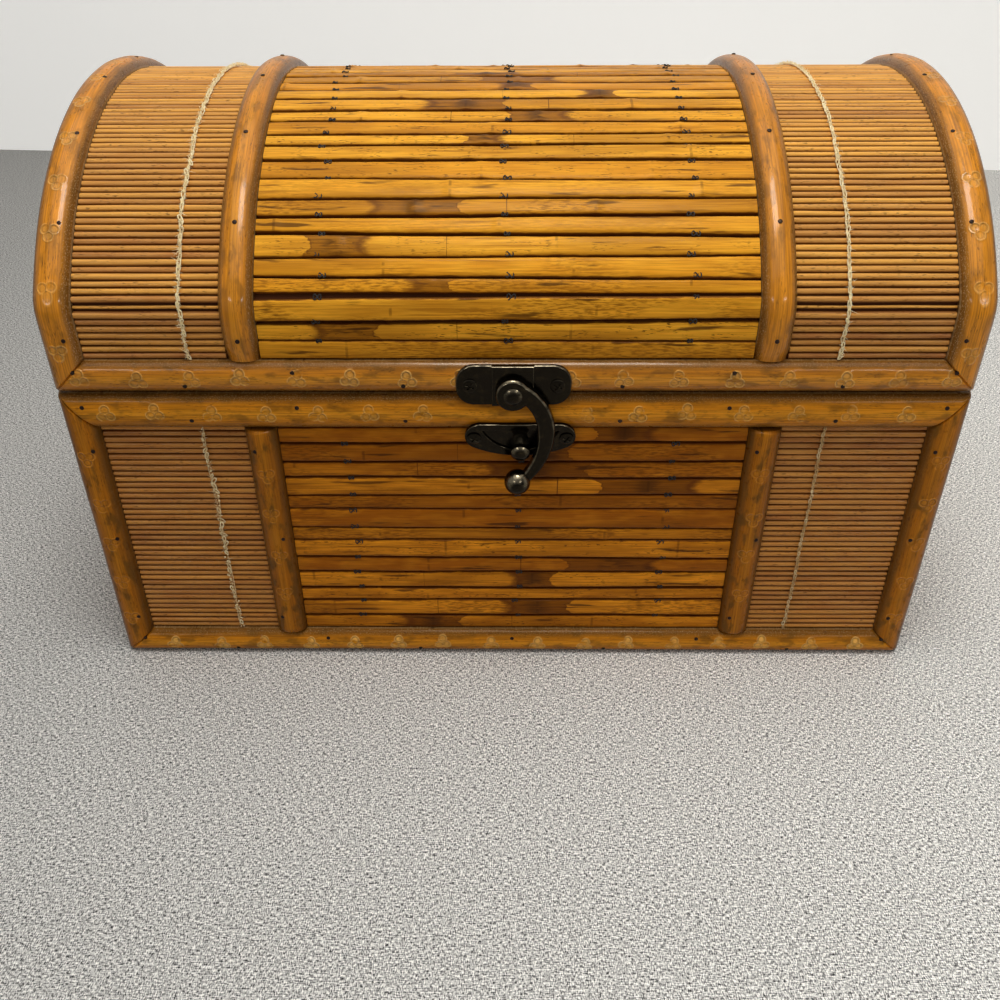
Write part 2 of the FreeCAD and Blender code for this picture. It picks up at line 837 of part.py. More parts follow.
def hook_round(centre, radius, across, angle):
    """A round stretch of the hook: half of its section turned about its own middle."""
    lift = hook_thickness - hook_edge
    swell = hook_edge * math.sin(math.radians(eighth_turn))
    flat = radius - hook_edge
    profile = [(0, 0), (radius, 0), (radius, lift), (flat + swell, lift + swell), (flat, hook_thickness)]
    points = [centre + across * a - Y * h for a, h in profile + [(0, hook_thickness)]]
    edges = [
        line(points[0], points[1]),
        line(points[1], points[2]),
        arc(*points[2:5]),
        line(points[4], points[5]),
        line(points[5], points[0]),
    ]
    return Part.Face(Part.Wire(edges)).revolve(centre, -Y, angle)


def latch_hook():
    """The swing hook: a boss on the rivet, an arm of two bends round the post, and a ball at its end."""
    pivot = V(pivot_x, -hook_back, pivot_z)
    post = keeper_panel().at(0, post_rise)
    waist = V(pivot_x + arm_reach, -hook_back, post.z + waist_above_post)
    upper = math.radians(upper_arm_angle)
    lower = math.radians(lower_arm_angle)
    lower_centre = waist - X * lower_arm_radius
    arm_top = hook_arm(waist - X * upper_arm_radius, upper_arm_radius, upper)
    arm_low = hook_taper(lower_centre, lower_arm_radius, lower)
    end = lower_centre + X * (lower_arm_radius * math.cos(lower)) - Z * (lower_arm_radius * math.sin(lower))
    seat = end - X * ball_side - Z * ball_drop
    ball = Part.makeSphere(ball_radius, seat - Y * ball_rise)
    behind = block(seat - (X + Z) * (ball_radius + overrun), seat + V(1, 1, 1) * (ball_radius + overrun))
    tip = hook_round(end, arm_end_width / 2, (lower_centre - end).normalize(), half_turn)
    arm = arm_top.fuse(arm_low).fuse(tip)
    hook = hook_round(pivot, boss_radius, X, full_turn).fuse(arm).fuse(ball.cut(behind)).removeSplitter()
    return hook.cut(front_hole(V(pivot_x, -latch_back, pivot_z), rivet_radius + pin_clearance))


# Keeper of the latch on the body
def keeper_panel():
    """The plane of the keeper's back: its foot is on the slats and it leans on the top rail's crown."""
    radius = crown_radius(top_rail_width)
    rail_out = half_depth + trim_thickness - radius
    rail_up = body_height - top_rail_width / 2
    foot_out = half_depth + slat_thickness + keeper_gap
    foot_up = field_top - keeper_foot_drop
    away = math.hypot(rail_out - foot_out, rail_up - foot_up)
    tilt = math.atan2(rail_out - foot_out, rail_up - foot_up) + math.asin((radius + keeper_gap) / away)
    up = V(0, -math.sin(tilt), math.cos(tilt))
    return Panel(V(keeper_centre, -foot_out, foot_up), X, up)


def keeper_plate(panel):
    """A plate with a straight top, two round lobes and a bulged foot, and a pocket with the post in it."""
    half = keeper_width / 2
    lobe_middle = keeper_height - keeper_lobe_drop
    inner = half - keeper_lobe
    low_angle = -math.radians(keeper_lobe_angle)
    low_u = inner + keeper_lobe * math.cos(low_angle)
    low_w = lobe_middle + keeper_lobe * math.sin(low_angle)
    top_right, right = panel.at(inner, keeper_height), panel.at(half, lobe_middle)
    top_left, left = panel.at(-inner, keeper_height), panel.at(-half, lobe_middle)
    edges = [
        line(top_left, top_right),
        arc(top_right, right, panel.at(low_u, low_w)),
        arc(panel.at(low_u, low_w), panel.at(0, 0), panel.at(-low_u, low_w)),
        arc(panel.at(-low_u, low_w), left, top_left),
    ]
    plate = Part.Face(Part.Wire(edges)).extrude(panel.out * keeper_thickness)
    plate = plate.cut(keeper_pocket(panel))
    plate = front_rounded(plate, panel.origin, panel.out, keeper_thickness, keeper_round)
    for side in (-1, 1):
        hole = panel.at(side * keeper_screw_side, lobe_middle, -overrun)
        length = keeper_thickness + overrun * 2
        plate = plate.cut(Part.makeCylinder(plate_screw_radius + pin_clearance, length, hole, panel.out))
    return plate.fuse(keeper_post(panel)).removeSplitter()


def keeper_pocket(panel):
    """The hollow round the post: straight above, one arc below."""
    top = keeper_height - pocket_top_drop
    floor = keeper_thickness - pocket_depth
    left, right = panel.at(-pocket_half, top, floor), panel.at(pocket_half, top, floor)
    edges = [line(left, right), arc(right, panel.at(0, pocket_foot, floor), left)]
    return Part.Face(Part.Wire(edges)).extrude(panel.out * (pocket_depth + overrun))


def keeper_post(panel):
    """A waisted post with a domed head, rooted half way through the floor of the pocket."""
    root = (keeper_thickness - pocket_depth) / 2
    neck = root + post_length * post_neck_share
    head = root + post_length * post_head_share
    outline = [(post_head_radius, 0), (post_neck_radius, neck), (post_head_radius, head)]
    return domed_pin(panel.at(0, post_rise, root), panel.across, panel.out, outline, root + post_length)


def keeper_screws(panel):
    height = keeper_height - keeper_lobe_drop
    return [
        screw(
            panel.at(side * keeper_screw_side, height, keeper_thickness),
            -panel.out,
            plate_screw_radius,
            plate_screw_head,
            plate_screw_head_height,
            plate_screw_length,
        )
        for side in (-1, 1)
    ]


def cut_all(shape, cutters):
    for cutter in cutters:
        shape = shape.cut(cutter)
    return shape


def body_nodes():
    nodes = body_boards()
    for name, panel in (("front", front_panel), ("back", back_panel)):
        frame, straps, slats, sticks, yarn = long_side(panel)
        sides = ("left", "right") if name == "front" else ("right", "left")
        nodes[name + "_top_rail"] = frame[0]
        nodes[name + "_bottom_rail"] = frame[1]
        for side, stile, strap, row in zip(sides, frame[2:], straps, sticks):
            nodes[name + "_" + side + "_stile"] = stile
            nodes[name + "_" + side + "_strap"] = strap
            nodes[name + "_" + side + "_sticks"] = row
        nodes[name + "_slats"] = slats
        nodes[name + "_yarn"] = yarn
    for name, panel in (("left", left_panel), ("right", right_panel)):
        frame, sticks = body_end(panel)
        nodes[name + "_end_frame"] = frame
        nodes[name + "_end_sticks"] = sticks
    for name in ("back_board", "back_top_rail"):
        nodes[name] = cut_all(nodes[name], hinge_recesses(-1))
    nodes["body_nails"] = body_nails()
    return nodes


def lid_nodes():
    nodes = lid_boards()
    nodes["lid_front_rail"] = lid_rail(front_panel).cut(latch_land())
    nodes["lid_back_rail"] = cut_all(lid_rail(back_panel), hinge_recesses(1))
    nodes["lid_back_board"] = cut_all(nodes["lid_back_board"], hinge_recesses(1))
    rail, band, yarn = lid_end_rail(), lid_band(), lid_yarn()
    nodes["lid_end_rails"] = [mirrored(rail), rail]
    nodes["lid_left_band"], nodes["lid_right_band"] = mirrored(band), band
    nodes["lid_left_strap"] = lid_strap(lid_strap_shift - strap_centre)
    nodes["lid_right_strap"] = lid_strap(lid_strap_shift + strap_centre)
    nodes["lid_yarn"] = [mirrored(yarn), yarn]
    inner = strap_inner - panel_clearance
    left, right = lid_strap_shift - inner, lid_strap_shift + inner
    nodes["lid_slats"] = dome_row(slat_section, slat_pitch, slat_gap, left, right)
    outer = strap_outer + panel_clearance
    left, right = lid_strap_shift - outer, lid_strap_shift + outer
    far = trunk_width / 2 - band_width - panel_clearance
    nodes["lid_left_sticks"] = dome_row(stick_section, stick_pitch, stick_gap, -far, left)
    nodes["lid_right_sticks"] = dome_row(stick_section, stick_pitch, stick_gap, right, far)
    nodes["lid_left_end_sticks"] = lid_end_sticks(left_panel)
    nodes["lid_right_end_sticks"] = lid_end_sticks(right_panel)
    nodes["lid_nails"] = lid_nails()
    return nodes


def hardware_nodes():
    lower, upper, pins, lower_screws, upper_screws = hinges()
    keeper = keeper_panel()
    return {
        "lower_hinge_leaves": lower,
        "upper_hinge_leaves": upper,
        "hinge_pins": pins,
        "lower_hinge_screws": lower_screws,
        "upper_hinge_screws": upper_screws,
        "latch_plate": latch_plate(),
        "latch_screws": latch_screws(),
        "latch_rivet": latch_rivet(),
        "latch_hook": latch_hook(),
        "keeper_plate": keeper_plate(keeper),
        "keeper_screws": keeper_screws(keeper),
    }


def main():
    os.makedirs("parts", exist_ok=True)
    nodes = {**body_nodes(), **lid_nodes(), **hardware_nodes()}
    for name, shape in nodes.items():
        if isinstance(shape, list):
            shape = Part.makeCompound(shape)
        state = "valid" if shape.isValid() else "NOT VALID"
        print(name, len(shape.Solids), "solids", round(shape.Volume), "mm3", state)
        shape.exportStep("parts/" + name + ".step")
    print(len(nodes), "nodes")


main()
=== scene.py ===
# %% [markdown]
# # A bamboo trunk with a domed lid
# This lesson dresses a finished CAD model of a small trunk. The CAD gives every size and joint. Here the
# plain solids get what a step closer shows: stamped half-round trims, split bamboo slats, thin sticks, sewn
# yarn, dark ties and brads. Each new shape is a numpy grid, so a reader can change one formula and see the
# whole trunk follow.

# %% Load the frame and measure it
import json
import math

import bpy
import numpy as np
from mathutils import Matrix, Vector


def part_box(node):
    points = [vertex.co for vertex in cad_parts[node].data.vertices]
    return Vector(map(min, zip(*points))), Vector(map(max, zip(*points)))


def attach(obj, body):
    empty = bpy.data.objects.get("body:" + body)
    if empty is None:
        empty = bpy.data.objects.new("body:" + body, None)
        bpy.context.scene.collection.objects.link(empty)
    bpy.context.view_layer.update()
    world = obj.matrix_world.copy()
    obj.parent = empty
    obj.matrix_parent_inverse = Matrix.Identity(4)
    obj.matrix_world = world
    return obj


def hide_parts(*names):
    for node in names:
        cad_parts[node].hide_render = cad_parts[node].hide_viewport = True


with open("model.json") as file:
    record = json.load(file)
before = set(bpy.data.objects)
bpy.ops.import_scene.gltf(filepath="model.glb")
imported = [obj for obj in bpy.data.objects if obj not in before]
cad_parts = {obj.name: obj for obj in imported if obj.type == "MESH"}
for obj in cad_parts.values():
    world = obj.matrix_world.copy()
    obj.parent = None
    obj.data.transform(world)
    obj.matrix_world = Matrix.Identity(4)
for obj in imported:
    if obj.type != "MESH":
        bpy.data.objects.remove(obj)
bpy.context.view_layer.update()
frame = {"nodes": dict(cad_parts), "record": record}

MM = 0.001
PLACE_DIGITS = 3
rng = np.random.default_rng(20)


def node_box(name):
    """Lowest and highest corner of a CAD node, in millimetres."""
    low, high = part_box(name)
    return np.array(low) / MM, np.array(high) / MM


def corner_points(mesh):
    """All corner points of a CAD mesh, in millimetres."""
    points = np.empty(len(mesh.vertices) * 3, np.float32)
    mesh.vertices.foreach_get("co", points)
    return points.reshape(-1, 3).astype(float) / MM


def solid_count(mesh, points):
    """Number of separate solids in a mesh. Corners at one place count as one. Each takes the least number
    among its neighbours until nothing changes, so that every solid ends with a number of its own."""
    edges = np.empty(len(mesh.edges) * 2, np.int32)
    mesh.edges.foreach_get("vertices", edges)
    which = np.unique(points.round(PLACE_DIGITS), axis=0, return_inverse=True)[1].ravel()
    ends = which[edges].reshape(-1, 2)
    numbers = np.arange(which.max() + 1)
    while True:
        least = numbers.copy()
        np.minimum.at(least, ends.ravel(), np.repeat(numbers[ends].min(1), 2))
        if (least == numbers).all():
            return len(np.unique(numbers))
        numbers = least


def node_solids(name):
    """Corner points of each solid in a CAD node whose solids all have the same number of corners."""
    mesh = frame["nodes"][name].data
    points = corner_points(mesh)
    return points.reshape(solid_count(mesh, points), -1, 3)


front_low, front_high = node_box("front_board")
rail_low, rail_high = node_box("front_top_rail")
foot_high = node_box("front_bottom_rail")[1]
strap_low, strap_high = node_box("front_right_strap")
lid_rail_low, lid_rail_high = node_box("lid_front_rail")
lid_wall_high = node_box("lid_front_board")[1]
half_width = front_high[0]
half_depth = -front_low[1]
outer_half = rail_high[0]
body_height = rail_high[2]
field_top = rail_low[2]
field_bottom = foot_high[2]
lid_rim = lid_rail_low[2]
lid_rail_top = lid_rail_high[2]
bend_start = lid_wall_high[2]
dome_top = node_box("lid_dome_skin")[1][2]
stile_width = outer_half - node_box("front_right_stile")[0][0]
band_width = outer_half - node_box("lid_right_band")[0][0]
strap_width = strap_high[0] - strap_low[0]
strap_centre = (strap_high[0] + strap_low[0]) / 2
print("half width", half_width, "half depth", half_depth, "lid rim", lid_rim, "dome top", dome_top)

# %% [markdown]
# ## The line that the lid follows
# Slats, sticks, bands and straps all follow one line: up the lid's front wall, round a small bend, over the
# dome and down the back. The line could be a Blender curve, but two arcs and two straight runs have exact
# formulas, and a function of the run gives a point and an outward direction for whole arrays at once.

# %% The line over the lid
bend_radius = 10.0
bend_centre = half_depth - bend_radius
bend_drop = bend_start - dome_top
dome_radius = (bend_centre ** 2 + bend_drop ** 2 - bend_radius ** 2) / (-2 * (bend_drop + bend_radius))
dome_centre = dome_top - dome_radius
bend_angle = math.atan2(bend_start - dome_centre, bend_centre)
dome_run = dome_radius * (math.pi - 2 * bend_angle)


def lid_length(start):
    """Length of the line from a height on the front wall to the same height on the back wall."""
    return 2 * (bend_start - start + bend_radius * bend_angle) + dome_run


def lid_place(run, start):
    """Point and outward direction at a run from a start height: a wall, then the bend's angle run / radius,
    then the dome's angle. Past the middle the same line is read backwards, with its depth turned round."""
    run = np.asarray(run, float)
    total = lid_length(start)
    side = np.where(run > total / 2, 1.0, -1.0)
    way = np.minimum(run, total - run)
    wall = bend_start - start
    past_bend = way - wall - bend_radius * bend_angle
    on_dome = past_bend > 0
    bend_turn = np.clip((way - wall) / bend_radius, 0, bend_angle)
    angle = bend_turn + np.maximum(past_bend, 0) / dome_radius
    radius = np.where(on_dome, dome_radius, bend_radius)
    depth = np.where(on_dome, 0, bend_centre) + radius * np.cos(angle)
    rise = np.where(on_dome, dome_centre, bend_start) + radius * np.sin(angle)
    rise = np.where(way < wall, start + way, rise)
    nought = np.zeros_like(run)
    point = np.stack([nought, side * depth, rise], -1)
    out = np.stack([nought, side * np.cos(angle), np.sin(angle)], -1)
    return point, out


print("dome radius", round(dome_radius, 2), "line", round(lid_length(lid_rail_top), 1))

# %% [markdown]
# ## Panels
# The body's four faces are flat, so each is a small frame of its own: a place on the board, a direction
# across and a direction out, with Z as the way up. A trim or stick then needs only two numbers to find its
# place on any side.

# %% Flat panels
AXIS_X, AXIS_Y, AXIS_Z = np.eye(3)
panels = {
    "front": (np.array([0, -half_depth, 0]), AXIS_X, -AXIS_Y),
    "back": (np.array([0, half_depth, 0]), -AXIS_X, AXIS_Y),
    "left": (np.array([-half_width, 0, 0]), -AXIS_Y, -AXIS_X),
    "right": (np.array([half_width, 0, 0]), AXIS_Y, AXIS_X),
}


def straight_line(origin, along, out):
    """A line on a flat panel: the place at a run is origin + along * run, and out stays the same."""

    def at(run):
        run = np.asarray(run, float)
        return origin + along * run[..., None], np.broadcast_to(out, run.shape + (3,))

    return at


def lid_line(start, aside=0.0):
    """The line over the lid, from a height on its front wall and at a place aside from the middle."""

    def at(run):
        point, out = lid_place(run, start)
        return point + AXIS_X * aside, out

    return at


print(len(panels), "panels")

# %% [markdown]
# ## From loops to a mesh
# Nearly every piece here is a loop carried along a line: a trim's section, a slat's, a thread's. One
# function joins such loops into quads, closes the ends with caps and turns every face outwards. It also
# stores numbers on the points, such as a slat's own tone, for the materials to read.

# %% Loops to mesh
SHARP_ANGLE = math.radians(38)
UV_PER_MM = 0.01


def inward(grid, quads):
    """Which pieces have their quads turned inwards: six times the volume that they enclose is a sum of
    triple products, and there it is less than nought."""
    points = grid.reshape(len(grid), -1, 3)
    points = points - points.mean(1, keepdims=True)
    local = quads - quads.reshape(len(quads), -1).min(1)[:, None, None]
    a, b, c, d = (np.take_along_axis(points, local[..., i, None], 1) for i in range(4))
    volume = (a * np.cross(b, c)).sum((1, 2)) + (a * np.cross(c, d)).sum((1, 2))
    return volume < 0


def loops_to_mesh(name, grids, marks, ring=False):
    """Joins grids of pieces x stations x points round a loop into one mesh. A quad joins two neighbours on a
    loop to the same two on the next loop. Caps close the ends, or with ring the last loop meets the first."""
    corners, sizes, base = [], [], 0
    for grid in grids:
        pieces, stations, around = grid.shape[:3]
        index = base + np.arange(pieces * stations * around).reshape(pieces, stations, around)
        here, after = (index, np.roll(index, -1, 1)) if ring else (index[:, :-1], index[:, 1:])
        quads = np.stack([here, np.roll(here, -1, 2), np.roll(after, -1, 2), after], -1)
        quads = quads.reshape(pieces, -1, 4)
        caps = np.stack([index[:, 0, ::-1], index[:, -1]], 1)
        turned = inward(grid, quads)
        quads[turned] = quads[turned][..., ::-1]
        caps[turned] = caps[turned][..., ::-1]
        corners.append(quads.ravel())
        sizes.append(np.full(pieces * quads.shape[1], 4))
        if not ring:
            corners.append(caps.ravel())
            sizes.append(np.full(pieces * 2, around))
        base += index.size
    mesh = bpy.data.meshes.new(name)
    points = np.concatenate([grid.reshape(-1, 3) for grid in grids]) * MM
    fill_mesh(mesh, points, np.concatenate(corners), np.concatenate(sizes))
    store_marks(mesh, grids, marks)
    return mesh


def fill_mesh(mesh, points, corners, sizes):
    """Puts arrays of points, face corners and face sizes into a mesh, smooth but for its sharp edges."""
    mesh.vertices.add(len(points))
    mesh.vertices.foreach_set("co", points.ravel())
    mesh.loops.add(len(corners))
    mesh.loops.foreach_set("vertex_index", corners)
    mesh.polygons.add(len(sizes))
    mesh.polygons.foreach_set("loop_start", np.cumsum(sizes) - sizes)
    mesh.update(calc_edges=True)
    mesh.validate()
    mesh.polygons.foreach_set("use_smooth", np.ones(len(mesh.polygons), bool))
    mesh.set_sharp_from_angle(angle=SHARP_ANGLE)


def store_marks(mesh, grids, marks):
    """Stores each mark as a number on the points. The mark named run becomes the UV map, with 100 mm to
    one."""
    corner_index = np.empty(len(mesh.loops), np.int32)
    mesh.loops.foreach_get("vertex_index", corner_index)
    for mark, arrays in marks.items():
        pairs = list(zip(arrays, grids))
        if mark == "run":
            spread = [np.broadcast_to(array, grid.shape[:3] + (2,)).reshape(-1, 2) for array, grid in pairs]
            values = np.concatenate(spread) * UV_PER_MM
            layer = mesh.uv_layers.new(name="run")
            layer.data.foreach_set("uv", values[corner_index].astype(np.float32).ravel())
        else:
            values = np.concatenate([np.broadcast_to(array, grid.shape[:3]).ravel() for array, grid in pairs])
            mesh.attributes.new(mark, "FLOAT", "POINT").data.foreach_set("value", values.astype(np.float32))


def add_piece(name, mesh, body, finish, nodes=()):
    """Makes a mesh a piece of the trunk: it gets its finish, rides on a body and stands for CAD nodes."""
    piece = bpy.data.objects.new(name, mesh)
    bpy.context.scene.collection.objects.link(piece)
    mesh.materials.append(finish)
    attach(piece, body)
    if nodes:
        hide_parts(*nodes)
    print(name, len(mesh.polygons), "faces")
    return piece


print("sharp edges from", round(math.degrees(SHARP_ANGLE)), "degrees")

# %% [markdown]
# ## Wiring finishes
# A finish is a graph of shader nodes. Wiring one by hand takes many lines, so a small bench adds a node,
# links the inputs that are sockets and sets the rest. Effects that several finishes share are node groups,
# built once.

# %% A bench for shader nodes
class Bench:
    """Adds nodes to one node tree."""

    def __init__(self, tree):
        self.tree = tree

    def node(self, kind, inputs=None, **settings):
        """Adds one node, sets it up, links the inputs that are sockets and sets the others."""
        made = self.tree.nodes.new(kind)
        for key, value in settings.items():
            setattr(made, key, value)
        for key, value in (inputs or {}).items():
            if isinstance(value, bpy.types.NodeSocket):
                self.tree.links.new(value, made.inputs[key])
            else:
                made.inputs[key].default_value = value
        return made

    def math(self, operation, a, b=0.0):
        return self.node("ShaderNodeMath", {0: a, 1: b}, operation=operation).outputs[0]

    def link(self, source, target):
        self.tree.links.new(source, target)

    def times(self, a, b):
        return self.math("MULTIPLY", a, b)

    def ramp(self, value, low, high):
        """A smooth step from 0 at low to 1 at high."""
        inputs = {"Value": value, "From Min": low, "From Max": high}
        return self.node("ShaderNodeMapRange", inputs, interpolation_type="SMOOTHSTEP").outputs[0]

    def mix(self, share, a, b, blend="MIX"):
        inputs = {0: share, 6: a, 7: b}
        return self.node("ShaderNodeMix", inputs, data_type="RGBA", blend_type=blend).outputs[2]

    def tint(self, colour, mask, share, toward):
        """Takes a colour toward another by a share of a mask."""
        return self.mix(self.times(mask, share), colour, toward)

    def noise(self, vector, scale, detail=2.0):
        """Noise whose scale differs along the three axes."""
        stretched = self.node("ShaderNodeMapping", {"Vector": vector, "Scale": scale}).outputs[0]
        inputs = {"Vector": stretched, "Scale": 1.0, "Detail": detail}
        return self.node("ShaderNodeTexNoise", inputs).outputs[0]

    def mark(self, name):
        """A number that is stored on the points."""
        return self.node("ShaderNodeAttribute", attribute_name=name).outputs["Fac"]

    def run(self):
        """The run along a piece and across it, in units of 100 mm."""
        return self.node("ShaderNodeUVMap", uv_map="run").outputs[0]

    def place(self):
        return self.node("ShaderNodeTexCoord").outputs["Object"]

    def normal(self):
        return self.node("ShaderNodeTexCoord").outputs["Normal"]

    def bump(self, height, strength, distance):
        inputs = {"Height": height, "Strength": strength, "Distance": distance}
        return self.node("ShaderNodeBump", inputs).outputs[0]


def new_group(name, inputs, outputs):
    """An empty shader group with named sockets. Returns its bench, its input node and its output node."""
    tree = bpy.data.node_groups.new(name, "ShaderNodeTree")
    for label, kind in inputs:
        tree.interface.new_socket(name=label, in_out="INPUT", socket_type=kind)
    for label, kind in outputs:
        tree.interface.new_socket(name=label, in_out="OUTPUT", socket_type=kind)
    bench = Bench(tree)
    return bench, bench.node("NodeGroupInput"), bench.node("NodeGroupOutput")


def new_finish(name):
    """An empty material. Returns it with its bench and its Principled shader."""
    finish = bpy.data.materials.new(name)
    finish.use_nodes = True
    return finish, Bench(finish.node_tree), finish.node_tree.nodes["Principled BSDF"]


print("bench ready")

# %% [markdown]
# ## Bamboo fibre, lacquer and trefoil
# Split bamboo shows long straight fibres, broad pale and brown clouds, and short dark flecks along the
# grain. The first group reads the run along a piece and across it, and stretches noise far along the grain.
# The second makes brushed lacquer uneven: its gloss changes in clouds and its skin has faint ripples. The
# third tells how far a point of a trim lies from the outline of the nearest stamp.

# %% Shared groups
VECTOR, VALUE = "NodeSocketVector", "NodeSocketFloat"
STREAK_GRAIN, STREAK_RAMP = (5.0, 170.0, 1.0), (0.35, 0.7)
CLOUD_GRAIN, CLOUD_RAMP = (7.0, 22.0, 1.0), (0.3, 0.7)
FLECK_GRAIN, FLECK_RAMP = (45.0, 260.0, 1.0), (0.58, 0.66)
FLECKED_GRAIN, FLECKED_RAMP = (9.0, 30.0, 1.0), (0.46, 0.6)
GLOSS_GRAIN, GLOSS_SHARE = (30.0, 60.0, 30.0), 0.35
RIPPLE_GRAIN, RIPPLE_DEPTH = (60.0, 320.0, 60.0), 0.1
LOBE_RADIUS, LOBE_REACH, LOBE_ANGLES = 1.75, 1.75, (90, 210, 330)
NOISE_MIDDLE = 0.5
COAT_ROUGHNESS, AMBER_SHEEN = 0.13, (1.0, 0.55, 0.15, 1)


def make_fibre_group():
    """Streaks, clouds and flecks along the grain, each a mask from 0 to 1."""
    bench, given, result = new_group(
        "bamboo_fibre", [("Run", VECTOR)], [("Streak", VALUE), ("Cloud", VALUE), ("Fleck", VALUE)]
    )
    run = given.outputs["Run"]
    fleck = bench.ramp(bench.noise(run, FLECK_GRAIN, 1.0), *FLECK_RAMP)
    flecked = bench.ramp(bench.noise(run, FLECKED_GRAIN, 1.0), *FLECKED_RAMP)
    bench.link(bench.ramp(bench.noise(run, STREAK_GRAIN, 3.0), *STREAK_RAMP), result.inputs["Streak"])
    bench.link(bench.ramp(bench.noise(run, CLOUD_GRAIN), *CLOUD_RAMP), result.inputs["Cloud"])
    bench.link(bench.times(fleck, flecked), result.inputs["Fleck"])
    return bench.tree


def make_lacquer_group():
    """Roughness that swings about a given gloss, and the height of the ripples."""
    bench, given, result = new_group(
        "brushed_lacquer", [("Run", VECTOR), ("Gloss", VALUE)], [("Roughness", VALUE), ("Height", VALUE)]
    )
    run = given.outputs["Run"]
    swing = bench.times(bench.math("SUBTRACT", bench.noise(run, GLOSS_GRAIN), NOISE_MIDDLE), GLOSS_SHARE)
    bench.link(bench.math("ADD", given.outputs["Gloss"], swing), result.inputs["Roughness"])
    bench.link(bench.noise(run, RIPPLE_GRAIN), result.inputs["Height"])
    return bench.tree


def make_trefoil_group():
    """Distance to the outline of three circles round a middle, less than nought inside."""
    bench, given, result = new_group("trefoil", [("Along", VALUE), ("Across", VALUE)], [("Distance", VALUE)])
    nearest = None
    for angle in np.radians(LOBE_ANGLES):
        along = bench.math("SUBTRACT", given.outputs["Along"], LOBE_REACH * math.cos(angle))
        across = bench.math("SUBTRACT", given.outputs["Across"], LOBE_REACH * math.sin(angle))
        away = bench.math("SQRT", bench.math("ADD", bench.times(along, along), bench.times(across, across)))
        nearest = away if nearest is None else bench.math("MINIMUM", nearest, away)
    bench.link(bench.math("SUBTRACT", nearest, LOBE_RADIUS), result.inputs["Distance"])
    return bench.tree


fibre_group = make_fibre_group()
trefoil_group = make_trefoil_group()
lacquer_group = make_lacquer_group()


def fibre(bench, run):
    """Places the fibre group and returns its streak, cloud and fleck."""
    placed = bench.node("ShaderNodeGroup", node_tree=fibre_group)
    bench.link(run, placed.inputs["Run"])
    return [placed.outputs[name] for name in ("Streak", "Cloud", "Fleck")]


def trefoil(bench):
    """Places the trefoil group on the stamps' marks and returns the distance to the outline."""
    placed = bench.node("ShaderNodeGroup", node_tree=trefoil_group)
    bench.link(bench.mark("stamp_along"), placed.inputs["Along"])
    bench.link(bench.mark("stamp_across"), placed.inputs["Across"])
    return placed.outputs["Distance"]


def varnish(shader, coat, specular):
    """Sets the clear coat of lacquered bamboo and the amber of its underlying gloss."""
    shader.inputs["Coat Weight"].default_value = coat
    shader.inputs["Coat Roughness"].default_value = COAT_ROUGHNESS
    shader.inputs["Specular IOR Level"].default_value = specular
    shader.inputs["Specular Tint"].default_value = AMBER_SHEEN


def lacquer(bench, shader, run, gloss, ripple_share, under=None):
    """Places the lacquer group and feeds the shader's roughness and normal from it, over a normal from
    below."""
    placed = bench.node("ShaderNodeGroup", node_tree=lacquer_group)
    placed.inputs["Gloss"].default_value = gloss
    bench.link(run, placed.inputs["Run"])
    bench.link(placed.outputs["Roughness"], shader.inputs["Roughness"])
    normal = bench.bump(placed.outputs["Height"], ripple_share, RIPPLE_DEPTH * MM)
    if under is not None:
        bench.link(under, normal.node.inputs["Normal"])
    bench.link(normal, shader.inputs["Normal"])


print("groups", fibre_group.name, trefoil_group.name, lacquer_group.name)

# %% [markdown]
# ## Finish of the slats
# A slat is honey amber where the skin is whole and brown where it was shaved off round a node, with a
# rounded border between the two. An image of bamboo would repeat. Noise stretched along the grain never
# does, and the numbers stored on the points let slats differ: each has its own tone, and some are mottled,
# dull or stained.

# %% Slat finish
# The second brown is the border of bare patches, and also the painted shade of the gaps along slats and
# sticks.
GROOVE_BROWN, BORDER_AND_GAP_SHADE_BROWN = (0.045, 0.012, 0.003, 1), (0.10, 0.024, 0.004, 1)
TONE_SHARE, CLOUD_SHARE, STREAK_SHARE = 0.8, 0.4, 0.45
LINE_GRAIN, LINE_RAMP, LINE_SHARE = (2.2, 75.0, 1.0), (0.58, 0.7), 0.7
SHADE_GRAIN, SHADE_RAMP, SHADE_SHARE = (1.4, 9.0, 1.0), (0.42, 0.7), 0.6
DULL_RAMP, DULL_SHARE = (0.36, 0.2), 0.38
TIP_LENGTH, TIP_WOBBLE, TIP_GRAIN = 3.6, 3.5, (40.0, 90.0, 1.0)
PATCH_RAMP, PATCH_SHARE, BARE_STREAK_SHARE = (0.5, 2.0), 0.92, 0.55
CORE_REACH, CORE_RAMP, CORE_SHARE = (7.0, 1.0), (0.2, 0.5), 0.85
BORDER_RAMP, BORDER_SHARE = (2.0, 0.5), 0.7
STAIN_GRAIN, STAIN_RAMP, STAIN_SHARE, DEEP_SHARE = (28.0, 170.0, 1.0), (0.45, 0.6), 0.7, 0.35
FIELD_GRAIN, FIELD_RAMP, STAINED_RAMP = (2.2, 6.0, 1.0), (0.42, 0.56), (0.55, 0.3)
BURN_GRAIN, BURN_RAMP, BURN_SHARE = (3.4, 34.0, 1.0), (0.61, 0.69), 0.8
SPECKLED_RAMP, SPECKLE_SHARE = (0.4, 0.75), 0.9
RING_REACH, RING_RAMP, RING_SHARE = (0.7, 0.25), (0.3, 0.8), 0.45
LOW_EDGE_SHADE_RAMP, LOW_EDGE_SHADE_SHARE = (-0.45, -1.0), 0.5
RAGGED_GRAIN, RAGGED_SHARE = (14.0, 40.0, 1.0), 0.3
SLAT_GAP_SHADE_RAMP, GAP_SHADE_SHARE = (0.86, 0.98), 0.85
SLAT_COAT, SLAT_SPECULAR, SLAT_GLOSS, SLAT_RIPPLE_SHARE = 0.03, 0.18, 0.36, 0.35


